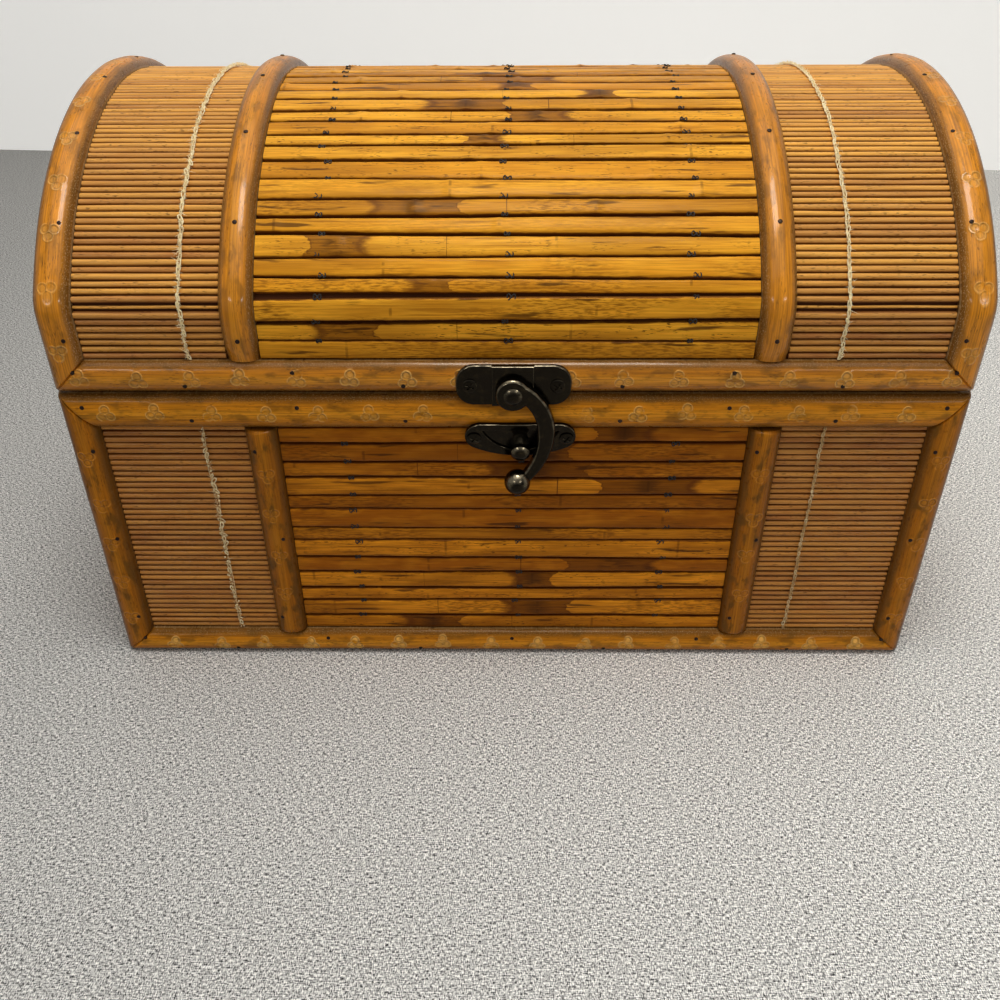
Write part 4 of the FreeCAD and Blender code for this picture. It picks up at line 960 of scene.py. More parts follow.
def trim_loops(at, side, width, start, end, tone, stamps=(None, None), turn=0.0, breaks=(), carve=None,
               full=None, ease=(EASE_DEPTH, EASE_LENGTH), fill=FAINT_FILL, depth=1.0):
    """Loops of one trim. start and end give the run at the two edges, which makes a mitre where they differ.
    stamps are the first and last stamp. breaks are extra runs, carve changes the finished points, and full
    gives the fullness of the section at a run. The crown sinks at both ends by ease, so that joints show as
    dark lines."""
    half = width / 2
    across = np.concatenate([half * np.cos(np.linspace(0, np.pi, CROWN_POINTS)), [-half, half]])
    on_crown = np.arange(len(across)) < CROWN_POINTS
    run, first, last = trim_runs(across, start, end, stamps, breaks)
    fullness = np.ones_like(run) if full is None else full(run)
    from_end = np.minimum(run - first, last - run)
    height = crown_height(across, width, fullness) - ease[0] * np.exp(-(from_end / ease[1]) ** 2)
    along = over = strike = np.zeros_like(run)
    if stamps[0] is not None:
        relief, along, over, strike = stamp_relief(run, across + 0 * run, *stamps, turn)
        strike = strike * fullness * depth
        height = height + relief * fullness * depth
    height = np.where(on_crown, height + wander(run, TRIM_WANDER, TRIM_WAVE), 0)
    centre, out = at(run)
    points = centre + side * across[:, None] + out * height[..., None]
    if carve is not None:
        points = carve(points)
    offset = rng.uniform(0, GRAIN_SPREAD, 2)
    marks = {
        "run": np.stack([run + offset[0], across + 0 * run + offset[1]], -1)[None],
        "side": np.where(on_crown, np.abs(across) / half, FOOT_SIDE) + 0 * run[None],
        "stamp_along": along[None],
        "stamp_across": over[None],
        "strike": (strike * on_crown)[None],
        "fill": np.full((1, 1, 1), fill),
        "tone": np.full((1, 1, 1), tone + rng.uniform(-TONE_SPREAD, TONE_SPREAD)),
    }
    return points[None], marks


def add_trim(node, body, bars):
    """Makes one piece of one or more trims, which stands for the CAD node of that name."""
    grids = [bar[0] for bar in bars]
    marks = {key: [bar[1][key] for bar in bars] for key in bars[0][1]}
    finish = lid_trim_finish if body == "lid" else body_trim_finish
    mesh = loops_to_mesh("stamped_" + node, grids, marks)
    return add_piece("stamped_" + node, mesh, body, finish, [node])


print("trim tools ready")

# %% [markdown]
# ## Room for the hardware
# The back rails are notched for the hinges, and the lid's front rail has a flat for the latch plate.
# Boolean cuts would leave ragged triangles in such fine grids. Moving the points that lie inside a recess
# onto its wall keeps the grid whole: only points past the wall move, and extra stations at the ends of the
# recess make its sides steep.

# %% Recesses
hinge_high = node_box("lower_hinge_leaves")[1]
pin_low, pin_high = node_box("hinge_pins")
hinge_y = (pin_low[1] + pin_high[1]) / 2
hinge_z = (pin_low[2] + pin_high[2]) / 2
RECESS_RADIUS, LEAF_RECESS, RECESS_CLEARANCE = 2.6, 0.95, 0.2
HINGE_WIDTH = 30.0
hinge_x = hinge_high[0] - HINGE_WIDTH / 2
recess_half = HINGE_WIDTH / 2 + RECESS_CLEARANCE
plate_low, plate_high = node_box("latch_plate")
plate_middle = (plate_low[0] + plate_high[0]) / 2
plate_half = (plate_high[0] - plate_low[0]) / 2 + RECESS_CLEARANCE
plate_back = plate_high[1]
STEEP = 0.03
keeper_low, keeper_high = node_box("keeper_plate")
keeper_middle = (keeper_low[0] + keeper_high[0]) / 2
keeper_half = (keeper_high[0] - keeper_low[0]) / 2 + RECESS_CLEARANCE
KEEPER_EASE = 8.0


def hinge_carve(direction):
    """Moves points out of the hinge recesses: below the hinge line for -1, above it for 1."""

    def carve(points):
        x, y, z = np.moveaxis(points, -1, 0)
        inside = np.abs(np.abs(x) - hinge_x) < recess_half
        reach = np.sqrt(np.maximum(0, RECESS_RADIUS ** 2 - (y - hinge_y) ** 2))
        depth = np.maximum(reach, np.where(y < hinge_y, LEAF_RECESS, 0))
        wall = hinge_z + direction * depth
        limited = np.minimum(z, wall) if direction < 0 else np.maximum(z, wall)
        return np.stack([x, y, np.where(inside, limited, z)], -1)

    return carve


def plate_carve(points):
    """Flattens the crown of the lid's front rail behind the latch plate."""
    x, y, z = np.moveaxis(points, -1, 0)
    inside = np.abs(x - plate_middle) < plate_half
    return np.stack([x, np.where(inside, np.maximum(y, plate_back), y), z], -1)


def keeper_fullness(run):
    """Fullness of the front top rail: nought behind the keeper, which leans on the rail, and one away from
    it."""
    away = np.abs(run - outer_half - keeper_middle) - keeper_half
    return np.clip(away / KEEPER_EASE, 0, 1)


def recess_breaks(centres, half, middle):
    """Pairs of runs just inside and just outside each end of each recess."""
    ends = np.array([[c - half, c + half] for c in centres]).ravel() + middle
    return np.concatenate([ends - STEEP, ends + STEEP])


hinge_breaks = recess_breaks((-hinge_x, hinge_x), recess_half, outer_half)
plate_breaks = recess_breaks((plate_middle,), plate_half, outer_half)
print("hinges at", round(hinge_x, 1), "recess", recess_half)

# %% [markdown]
# ## The body's trims
# Each long side has a picture frame of four trims and two straps, and each end has a frame. The stamps
# start where they do on the real trunk, so the rails' rows don't line up with each other.

# %% Body rails, stiles and straps
QUARTER_TURN = math.pi / 2
STRAP_SHORT = 0.6
RAIL_TONE, STILE_TONE, STRAP_TONE = 0.5, 0.95, 0.95
STILE_DEPTH, STRAP_DEPTH = 0.55, 0.4
bottom_width = field_bottom
stamp_starts = {"top": 17.0, "bottom": 21.0, "lid": 11.4, "stile": 20.0, "band": 16.0, "strap": 22.0}
stamp_ends = {"stile": 5.0, "strap": 9.0, "band": 14.0, "end": 9.0}


def rail_on(panel, half, low, high, outer_is_top, stamp_start, **extra):
    """A level trim on a panel between two heights, mitred into the stiles at both ends."""
    origin, across, out = panels[panel]
    at = straight_line(origin - across * half + AXIS_Z * (low + high) / 2, across, out)
    inset = extra.pop("inset", stile_width)
    start = (inset, 0.0) if outer_is_top else (0.0, inset)
    end = tuple(2 * half - each for each in start)
    stamps = (stamp_start, 2 * half - stamp_start / 2)
    return trim_loops(at, AXIS_Z, high - low, start, end, RAIL_TONE, stamps, **extra)


def stile_on(panel, half, side):
    """An upright trim at one side of a panel, mitred into both rails."""
    origin, across, out = panels[panel]
    at = straight_line(origin + across * side * (half - stile_width / 2), AXIS_Z, out)
    start = (0.0, bottom_width) if side < 0 else (bottom_width, 0.0)
    end = (body_height, field_top) if side < 0 else (field_top, body_height)
    stamps = (stamp_starts["stile"], field_top - stamp_ends["stile"])
    return trim_loops(at, across, stile_width, start, end, STILE_TONE, stamps, QUARTER_TURN, fill=WORN_FILL,
                      depth=STILE_DEPTH)


def body_strap(panel, side):
    """An upright strap between the rails, with worn stamps."""
    origin, across, out = panels[panel]
    at = straight_line(origin + across * side * strap_centre, AXIS_Z, out)
    top = field_top - STRAP_SHORT
    ends = (field_bottom, field_bottom), (top, top)
    stamps = (field_bottom + stamp_starts["strap"], field_top - stamp_ends["strap"])
    return trim_loops(at, across, strap_width, *ends, STRAP_TONE, stamps, QUARTER_TURN, fill=WORN_FILL,
                      depth=STRAP_DEPTH)


for panel, mirror in (("front", 1), ("back", -1)):
    carving = {"full": keeper_fullness}
    if panel == "back":
        carving = {"breaks": hinge_breaks, "carve": hinge_carve(-1), "full": np.zeros_like}
    top = rail_on(panel, outer_half, field_top, body_height, True, stamp_starts["top"], **carving)
    add_trim(panel + "_top_rail", "box", [top])
    foot = rail_on(panel, outer_half, 0, field_bottom, False, stamp_starts["bottom"], fill=PALE_FILL)
    add_trim(panel + "_bottom_rail", "box", [foot])
    for side, word in ((-mirror, "left"), (mirror, "right")):
        add_trim(f"{panel}_{word}_stile", "box", [stile_on(panel, outer_half, side)])
        add_trim(f"{panel}_{word}_strap", "box", [body_strap(panel, side)])
for panel in ("left", "right"):
    bars = [
        rail_on(panel, half_depth, field_top, body_height, True, stamp_starts["top"]),
        rail_on(panel, half_depth, 0, field_bottom, False, stamp_starts["bottom"]),
        stile_on(panel, half_depth, -1),
        stile_on(panel, half_depth, 1),
    ]
    add_trim(panel + "_end_frame", "box", bars)

# %% [markdown]
# ## The lid's trims
# The lid has a rail on each side, two stamped bands over its ends and two plain straps. Bands and straps
# are the same section on the line over the dome, so only the function that finds their place differs from a
# straight trim.

# %% Lid rails, bands and straps
BAND_TONE, BAND_DEPTH, LID_STRAP_TONE = 0.12, 0.7, 0.25
STRAP_FOOT = (2.4, 4.5)
rail_total = lid_length(lid_rim)
rail_rise = lid_rail_top - lid_rim


def lid_band(side):
    """A band over one end of the lid, mitred into the front and back rails."""
    at = lid_line(lid_rim, side * (outer_half - band_width / 2))
    start = (rail_rise, 0.0) if side > 0 else (0.0, rail_rise)
    end = tuple(rail_total - each for each in start)
    stamps = (stamp_starts["band"], rail_total - stamp_ends["band"])
    return trim_loops(at, AXIS_X, band_width, start, end, BAND_TONE, stamps, QUARTER_TURN, depth=BAND_DEPTH)


def lid_strap(word):
    """A plain strap over the dome, shaved thinner at its feet."""
    total = lid_length(lid_rail_top)
    low, high = node_box(f"lid_{word}_strap")
    at = lid_line(lid_rail_top, (low[0] + high[0]) / 2)
    return trim_loops(at, AXIS_X, strap_width, (0.0, 0.0), (total, total), LID_STRAP_TONE, ease=STRAP_FOOT)


def lid_end_rail(panel):
    """A level trim at the foot of the lid's end, square at both ends."""
    origin, across, out = panels[panel]
    at = straight_line(origin - across * half_depth + AXIS_Z * (lid_rim + lid_rail_top) / 2, across, out)
    ends = (0.0, 0.0), (2 * half_depth, 2 * half_depth)
    stamps = (stamp_starts["lid"], 2 * half_depth - stamp_ends["end"])
    return trim_loops(at, AXIS_Z, rail_rise, *ends, RAIL_TONE, stamps)


for panel in ("front", "back"):
    carving = {"breaks": plate_breaks, "carve": plate_carve}
    if panel == "back":
        carving = {"breaks": hinge_breaks, "carve": hinge_carve(1), "full": np.zeros_like}
    carving["inset"] = band_width
    rail = rail_on(panel, outer_half, lid_rim, lid_rail_top, False, stamp_starts["lid"], **carving)
    add_trim(f"lid_{panel}_rail", "lid", [rail])
for side, word in ((-1, "left"), (1, "right")):
    add_trim(f"lid_{word}_band", "lid", [lid_band(side)])
    add_trim(f"lid_{word}_strap", "lid", [lid_strap(word)])
add_trim("lid_end_rails", "lid", [lid_end_rail("left"), lid_end_rail("right")])

# %% [markdown]
# ## Split slats
# A slat is a strip split from a cane: rounded edges, a slow wave along its length, and a low ridge at each
# node where the skin is shaved off. No two are equally wide. The borders between slats are moved at random
# first, and each slat then fills the room between two borders, so that they never overlap.

# %% Slats
SLAT_POINTS = 13
slat_gap, slat_thickness, slat_foot = 0.5, 2.2, 0.7
SLAT_STEP = 1.7
BORDER_SHIFT, BORDER_SLOPE, BORDER_WAVE, OPEN_GAP = 1.2, 0.55, 0.22, 1.5
GAP_SHARES, THICK_SHARES = (0.5, 1.9), (0.86, 1.06)
CRISP_TIP, SOFT_TIP = 0.35, 2.4
NODE_RIDGE, NODE_WIDTH = 0.16, 1.3
ACROSS_POWER, LIFT_POWER = 0.4, 0.45
NODE_SPREAD, SECOND_NODES = 14.0, (60.0, 95.0)
PATCH_REACHES, PATCHED_SHARE = (8.0, 22.0), 0.62
BORDER_LENGTH, SLAT_WANDER, SLAT_LENGTH, WANDER_SHARE = 90.0, 0.16, 70.0, 0.5
PATCH_SLATS, PATCH_MIDDLES, LAST_MIDDLE, BODY_MIDDLE = (0, 7, 12, 20), (-48, -40, 0, 24), -30, 55


def slat_section():
    """Shares across and up of a slat's loop: cos to a small power and sin to a small power. The last two
    points are the corners of its foot, told by a share up of less than nought."""
    angle = np.linspace(0, np.pi, SLAT_POINTS)
    across = np.sign(np.cos(angle)) * np.abs(np.cos(angle)) ** ACROSS_POWER
    return np.concatenate([across, [-1, 1]]), np.concatenate([np.sin(angle) ** LIFT_POWER, [-1, -1]])


def slat_nodes(x, middles):
    """Along each slat: the way from its nearest node, the reach of the bare patch there and the border's
    softness. The first node lies near a middle that differs from slat to slat, and only it has a patch, with
    one crisp end."""
    count = len(middles)
    places = middles + rng.normal(0, NODE_SPREAD, count)
    reaches = rng.uniform(*PATCH_REACHES, count) * (rng.uniform(size=count) < PATCHED_SHARE)
    second = places + np.where(places > 0, -1, 1) * rng.uniform(*SECOND_NODES, count)
    to_first, to_second = x - places[:, None], x - second[:, None]
    by_first = np.abs(to_first) < np.abs(to_second)
    crisp = to_first * rng.choice((-1, 1), (count, 1)) > 0
    nearest = np.where(by_first, to_first, to_second)
    return nearest, np.where(by_first, reaches[:, None], 0), np.where(crisp, CRISP_TIP, SOFT_TIP)


def slat_edges(x, low, high, count, open_at):
    """Lower and upper edge of each slat along x. Each border between two slats has its own place, slope and
    slow wave, and the slats beside it keep half of its gap. The border nearest to open_at is left wider."""
    borders = np.linspace(low, high, count + 1)
    free = np.ones(count + 1)
    free[[0, -1]] = 0
    slope = rng.uniform(-BORDER_SLOPE, BORDER_SLOPE, count + 1) * free
    wave = np.stack([wander(x, BORDER_WAVE, BORDER_LENGTH) for _ in range(count + 1)]) * free[:, None]
    place = borders + rng.uniform(-BORDER_SHIFT, BORDER_SHIFT, count + 1) * free
    edges = place[:, None] + slope[:, None] * x / x[-1] + wave
    gaps = slat_gap * rng.uniform(*GAP_SHARES, count + 1)
    half_gaps = np.broadcast_to(gaps[:, None] / 2, edges.shape).copy()
    half_gaps[np.abs(borders - open_at).argmin()] += OPEN_GAP / 2 * ((1 - x / x[-1]) / 2) ** 2
    return (edges + half_gaps)[:-1], (edges - half_gaps)[1:]


def slat_loops(at, low, high, left, right, middles, open_at):
    """Loops of a field of slats between two runs of a line, with their numbers for the finish."""
    count = len(middles)
    x = np.linspace(left, right, int((right - left) / SLAT_STEP))
    lower, upper = slat_edges(x, low, high, count, open_at)
    run = ((lower + upper) / 2).mean(1)
    centre, out = at(run)
    along = np.cross(out, AXIS_X)
    shares, lifts = slat_section()
    nearest, patch, soft = slat_nodes(x, middles)
    ridge = NODE_RIDGE * np.exp(-(nearest / NODE_WIDTH) ** 2)
    wave = np.stack([wander(x, SLAT_WANDER, SLAT_LENGTH) for _ in range(count)])
    thick = (rng.uniform(*THICK_SHARES, (count, 1)) + ridge + wave * WANDER_SHARE)[..., None]
    middle = ((lower + upper) / 2 - run[:, None])[..., None]
    offset = middle + ((upper - lower) / 2)[..., None] * shares
    lift = np.where(lifts < 0, 0, (slat_foot + (slat_thickness - slat_foot) * lifts) * thick)
    points = centre[:, None, None] + along[:, None, None] * offset[..., None]
    points = points + out[:, None, None] * lift[..., None]
    points = points + AXIS_X * x[:, None, None]
    shift = rng.uniform(0, GRAIN_SPREAD, count)[:, None, None]
    marks = {
        "run": np.stack(np.broadcast_arrays(x[:, None] + shift, offset + shift), -1),
        "tone": rng.uniform(size=count)[:, None, None],
        "across": shares,
        "node": nearest[..., None],
        "patch": patch[..., None],
        "soft": soft[..., None],
        "mottle": rng.uniform(size=count)[:, None, None],
    }
    return points, marks


def add_slats(node, body, finish, at, low, high, middles, open_at):
    """Makes one field of slats, which stands for the CAD node of that name."""
    box_low, box_high = node_box(node)
    points, marks = slat_loops(at, low, high, box_low[0], box_high[0], middles, open_at)
    mesh = loops_to_mesh("split_" + node, [points], {key: [value] for key, value in marks.items()})
    return add_piece("split_" + node, mesh, body, finish, [node])


lid_slat_count = len(node_solids("lid_slats"))
body_slat_count = len(node_solids("front_slats"))
lid_bend = bend_start - lid_rail_top + bend_radius * bend_angle / 2
lid_patches = (*PATCH_SLATS, lid_slat_count), (*PATCH_MIDDLES, LAST_MIDDLE)
lid_middles = np.interp(np.arange(lid_slat_count), *lid_patches)
body_middles = rng.uniform(-BODY_MIDDLE, BODY_MIDDLE, body_slat_count)
line, total = lid_line(lid_rail_top), lid_length(lid_rail_top)
add_slats("lid_slats", "lid", lid_slat_finish, line, 0, total, lid_middles, lid_bend)
for panel in ("front", "back"):
    origin, across, out = panels[panel]
    line = straight_line(origin, AXIS_Z, out)
    field = field_bottom, field_top, body_middles
    add_slats(panel + "_slats", "box", body_slat_finish, line, *field, field_top)

# %% [markdown]
# ## Thin sticks
# Beside the straps the trunk is clad in round sticks as thick as matches. There are hundreds, so each is a
# half-round loop at a few stations, a little thicker or thinner than its neighbour. The sticks' places come
# from the CAD solids, which already follow the dome and the D-shaped ends.

# %% Sticks
STICK_POINTS, STICK_STATIONS = 7, 4
stick_thickness = 2.0
STICK_FOOT_SHARE, STICK_BASE_SHARE, MIDDLE_SHARE = 0.7, 0.35, 0.5
STICK_SHARES, STICK_UNEVEN, STICK_SWAY, TONE_SHAPE = (0.9, 1.03), 0.02, 0.05, 1.6
WALL_SHADE_DEEPER, TOP_LIGHT_PALER, SLIM_SHARE = 0.5, 0.2, 0.5


def stick_loops(middles, outs, length_axis, lows, highs, pitch, deeper=0.0, slim=1.0):
    """Half-round loops of many sticks: cos across and sin up, with a slow bend along each stick. deeper is
    added to the tone of each stick, and slim makes some sticks thinner."""
    count = len(middles)
    angle = np.linspace(0, np.pi, STICK_POINTS)
    shares = np.concatenate([np.cos(angle), [-STICK_FOOT_SHARE, STICK_FOOT_SHARE]])
    lifts = np.concatenate([STICK_BASE_SHARE + (1 - STICK_BASE_SHARE) * np.sin(angle), [0, 0]])
    way = np.linspace(0, 1, STICK_STATIONS)
    length = lows[:, None] + (highs - lows)[:, None] * way
    size = rng.uniform(*STICK_SHARES, (count, 1)) + rng.normal(0, STICK_UNEVEN, (count, STICK_STATIONS))
    size = size * np.broadcast_to(slim, count)[:, None]
    sway = rng.normal(0, STICK_SWAY, (count, STICK_STATIONS))
    along = np.cross(outs, length_axis)
    offset = (pitch / 2 * size)[..., None] * shares + sway[..., None]
    lift = (stick_thickness * size)[..., None] * lifts
    points = middles[:, None, None] + along[:, None, None] * offset[..., None]
    points = points + outs[:, None, None] * lift[..., None]
    points = points + length_axis * length[..., None, None]
    shift = rng.uniform(0, GRAIN_SPREAD, count)[:, None, None]
    marks = {
        "run": np.stack(np.broadcast_arrays(length[..., None] + shift, offset + shift), -1),
        "tone": (rng.beta(TONE_SHAPE, TONE_SHAPE, count) + deeper)[:, None, None],
        "across": shares,
    }
    return points, marks


def add_sticks(node, body, middles, outs, length_axis, lows, highs, pitch, **extra):
    """Makes one field of sticks, which stands for the CAD node of that name."""
    points, marks = stick_loops(middles, outs, length_axis, lows, highs, pitch, **extra)
    mesh = loops_to_mesh("round_" + node, [points], {key: [value] for key, value in marks.items()})
    finish = lid_stick_finish if body == "lid" else body_stick_finish
    return add_piece("round_" + node, mesh, body, finish, [node])


def flat_sticks(node, body, panel):
    """Sticks on a flat panel, each where its CAD solid lies."""
    origin, across, out = panels[panel]
    solids = node_solids(node)
    low, high = solids.min(1), solids.max(1)
    axis = np.abs(across)
    middles = origin * np.abs(out) + AXIS_Z * ((low + high) / 2 * AXIS_Z).sum(1)[:, None]
    pitch = np.diff(np.sort(low[:, 2])).mean()
    outs = np.broadcast_to(out, middles.shape)
    add_sticks(node, body, middles, outs, axis, (low * axis).sum(1), (high * axis).sum(1), pitch)


def dome_sticks(node):
    """Sticks side by side on the line over the lid. Their tone is deeper on the walls and paler on top by the
    way they face, as painted shade and light, and the stick at the front bend is slim, which leaves a dark
    line there."""
    solids = node_solids(node)
    low, high = solids[..., 0].min(1), solids[..., 0].max(1)
    pitch = lid_length(lid_rail_top) / len(solids)
    runs = pitch * (np.arange(len(solids)) + MIDDLE_SHARE)
    middles, outs = lid_place(runs, lid_rail_top)
    # Painted shade and light: sticks facing sideways get a deeper tone, sticks facing up a paler one.
    deeper = WALL_SHADE_DEEPER * (1 - outs[:, 2]) - TOP_LIGHT_PALER
    slim = np.where(np.arange(len(solids)) == np.abs(runs - lid_bend).argmin(), SLIM_SHARE, 1)
    add_sticks(node, "lid", middles, outs, AXIS_X, low, high, pitch, deeper=deeper, slim=slim)


for panel in ("front", "back"):
    for word in ("left", "right"):
        flat_sticks(f"{panel}_{word}_sticks", "box", panel)
for word in ("left", "right"):
    flat_sticks(word + "_end_sticks", "box", word)
    flat_sticks(f"lid_{word}_end_sticks", "lid", word)
    dome_sticks(f"lid_{word}_sticks")

# %% [markdown]
# ## Sewn yarn
# A line of cream yarn is sewn over each field of sticks in chain stitch. A curve with a bevel would give a
# smooth rope. Instead each stitch is its own closed loop, longer than wide, that tips up at one end over
# the next, on top of a thin running strand, with short stray fibres.

# %% Yarn
yarn_x, yarn_lift = 115.0, 0.1
yarn_foot = stick_thickness + yarn_lift
STITCH_STEP, STITCH_LENGTH, STITCH_WIDTH, YARN_RADIUS = 2.3, 3.2, 1.1, 0.23
TUBE_POINTS, STITCH_STATIONS, YARN_END = 5, 12, 0.4
SMALLER_SHARE, LARGER_SHARE, OVAL_SHARE, RADIUS_SHARES = 0.6, 0.35, 0.3, (0.8, 1.15)
STITCH_LEAN, STITCH_DRIFT, DRIFT_LENGTH, STITCH_SPREAD = 0.22, 0.9, 40.0, 0.25
STITCH_RISE, RISE_SPREAD = 0.2, 0.08
STRAND_END, STRAND_STEP, STRAND_DRIFT, STRAND_WAVE, STRAND_RADIUS_SHARE = 0.3, 1.2, 0.7, 25.0, 0.9
STRAYS_PER_MM, STRAY_STATIONS, STRAY_BULK_POWER = 8, 4, 3
STRAY_END, STRAY_REACH, STRAY_SPREAD, STRAY_LIFT, STRAY_ARCH = 1.0, 0.9, 0.4, 0.7, 0.5
STRAY_RADIUS, STRAY_ROOT_SHARE = 0.085, 1.15
FRAYED_SIDE, LOOSE_SIDE, NEAT_SIDE = 1.5, 1.0, 0.5
LID_BULK, BODY_BULK = 0.86, 0.76
YARN_SOILS = {"lid_yarn": (0.0, 0.0), "front_yarn": (0.05, 0.7), "back_yarn": (0.2, 0.5)}
YARN_UNEVEN, STRAND_SOILS = 0.4, {"lid": 0.05, "box": 0.55}


def tube_loops(path, up, radius, closed=False):
    """Loops round paths of pieces x stations: radius * (cos * side + sin * up), square to each path's
    direction."""
    ahead = np.roll(path, -1, 1) - np.roll(path, 1, 1)
    if not closed:
        ahead[:, 0] = path[:, 1] - path[:, 0]
        ahead[:, -1] = path[:, -1] - path[:, -2]
    ahead = ahead / np.linalg.norm(ahead, axis=-1, keepdims=True)
    side = np.cross(ahead, up)
    side = side / np.linalg.norm(side, axis=-1, keepdims=True)
    over = np.cross(side, ahead)
    angle = np.linspace(0, 2 * np.pi, TUBE_POINTS, endpoint=False)[:, None]
    radius = np.broadcast_to(radius, path.shape[:2])[..., None, None]
    return path[:, :, None] + radius * (np.cos(angle) * side[:, :, None] + np.sin(angle) * over[:, :, None])


def yarn_point(at, run, across, height):
    """A place beside and above a line, and the outward direction there."""
    centre, out = at(run)
    return centre + AXIS_X * np.asarray(across)[..., None] + out * np.asarray(height)[..., None], out


def stitch_loops(at, total, x, looseness, bulk):
    """Closed stitches: an oval narrower at its start, which rises towards its end. bulk scales them all."""
    count = int(total / STITCH_STEP)
    start = (np.arange(count) + MIDDLE_SHARE) * total / count
    angle = np.linspace(0, 2 * np.pi, STITCH_STATIONS, endpoint=False)
    size = bulk * rng.uniform(1 - looseness * SMALLER_SHARE, 1 + looseness * LARGER_SHARE, (count, 1))
    lean = rng.normal(0, STITCH_LEAN * looseness, (count, 1))
    along = STITCH_LENGTH / 2 * np.cos(angle) * size
    across = STITCH_WIDTH / 2 * np.sin(angle) * (1 + OVAL_SHARE * np.cos(angle)) * size
    drift = wander(start, STITCH_DRIFT * looseness, DRIFT_LENGTH)[:, None]
    drift = drift + rng.normal(0, STITCH_SPREAD * looseness, (count, 1))
    run = start[:, None] + along * np.cos(lean) - across * np.sin(lean)
    rise = STITCH_RISE * (1 + np.cos(angle)) + rng.normal(0, RISE_SPREAD, (count, STITCH_STATIONS))
    aside = x + drift + across * np.cos(lean) + along * np.sin(lean)
    run = np.clip(run, YARN_END, total - YARN_END)
    path, out = yarn_point(at, run, aside, yarn_foot + YARN_RADIUS + rise)
    return tube_loops(path, out, YARN_RADIUS * rng.uniform(*RADIUS_SHARES, (count, 1)), True)


def strand_loops(at, total, x, looseness, bulk):
    """The running strand under the stitches."""
    run = np.linspace(STRAND_END, total - STRAND_END, int(total / STRAND_STEP))[None]
    aside = x + wander(run, STRAND_DRIFT * looseness, STRAND_WAVE)
    path, out = yarn_point(at, run, aside, yarn_foot + YARN_RADIUS + 0 * run)
    return tube_loops(path, out, YARN_RADIUS * STRAND_RADIUS_SHARE * bulk)


def stray_loops(at, total, x, looseness, bulk):
    """Short stray fibres, each a thin curved taper that starts in the stitches."""
    count = int(total * STRAYS_PER_MM * min(looseness, 1) * bulk ** STRAY_BULK_POWER)
    way = np.linspace(0, 1, STRAY_STATIONS)
    run = rng.uniform(STRAY_END, total - STRAY_END, (count, 1)) + rng.normal(0, STRAY_REACH, (count, 1)) * way
    across = x + rng.normal(0, STRAY_SPREAD, (count, 1)) + rng.normal(0, STRAY_REACH, (count, 1)) * way
    height = yarn_foot + STRAY_LIFT + np.abs(rng.normal(0, STRAY_ARCH, (count, 1))) * np.sin(way * np.pi)
    path, out = yarn_point(at, np.clip(run, YARN_END, total - YARN_END), across, height)
    return tube_loops(path, out, STRAY_RADIUS * (STRAY_ROOT_SHARE - way))


def add_yarn(node, body, lines):
    """Makes the stitches, and the strands and stray fibres, of all the sewn lines of one CAD node."""
    stitches = [stitch_loops(*line) for line in lines]
    loose = [make(*line) for line in lines for make in (strand_loops, stray_loops)]
    soils = [np.full((1, 1, 1), soil) for soil in YARN_SOILS[node]]
    swings = [rng.uniform(-YARN_UNEVEN, YARN_UNEVEN, (len(each), 1, 1)) for each in stitches]
    uneven = [soil + swing for soil, swing in zip(soils, swings)]
    mesh = loops_to_mesh("stitched_" + node, stitches, {"soil": uneven}, True)
    sewn = add_piece("stitched_" + node, mesh, body, yarn_finish, [node])
    deeper = [soil + STRAND_SOILS[body] for soil in soils for _ in range(2)]
    mesh = loops_to_mesh("strands_" + node, loose, {"soil": deeper})
    add_piece("strands_" + node, mesh, body, yarn_finish)
    return sewn


line, total = lid_line(lid_rail_top), lid_length(lid_rail_top)
lines = [(line, total, -yarn_x, LOOSE_SIDE, LID_BULK), (line, total, yarn_x, NEAT_SIDE, LID_BULK)]
add_yarn("lid_yarn", "lid", lines)
for panel in ("front", "back"):
    origin, across, out = panels[panel]
    line = straight_line(origin + AXIS_Z * field_bottom, AXIS_Z, out)
    total = field_top - field_bottom
    lines = [(line, total, -yarn_x, FRAYED_SIDE, BODY_BULK), (line, total, yarn_x, NEAT_SIDE, BODY_BULK)]
    add_yarn(panel + "_yarn", "box", lines)

# %% [markdown]
# ## Dark ties between the slats
# Before the slats are glued down, dark thread ties each to the next in three columns. Only a small crossed
# knot shows in each gap. A knot is one closed thread in a figure of eight: one sine across and another of
# twice the rate.

# %% Ties
tie_columns = {
    "lid_slats": (-67.0, -1.8, 62.5),
    "front_slats": (-62.5, 2.6, 60.2),
    "back_slats": (-60.2, -2.6, 62.5),
}
TIE_WIDTH, TIE_HEIGHT, TIE_RADIUS, TIE_STATIONS = 1.15, 0.75, 0.24, 14
TIE_SHARES, TIE_SPREAD, TIE_SINK, TIE_WEAVE = (0.7, 1.25), 0.9, 0.1, 0.2


def tie_loops(at, places, columns):
    """Figures of eight over the gaps at some runs of a line, in some columns."""
    run, column = (each.ravel() for each in np.meshgrid(places, columns))
    count = len(run)
    angle = np.linspace(0, 2 * np.pi, TIE_STATIONS, endpoint=False)
    size = rng.uniform(*TIE_SHARES, (count, 1))
    along = run[:, None] + TIE_HEIGHT * size * np.sin(2 * angle)
    across = column[:, None] + rng.normal(0, TIE_SPREAD, (count, 1)) + TIE_WIDTH * size * np.cos(angle)
    height = slat_thickness - TIE_SINK + TIE_WEAVE * np.cos(3 * angle) + 0 * along
    path, out = yarn_point(at, along, across, height)
    return tube_loops(path, out, TIE_RADIUS, True)


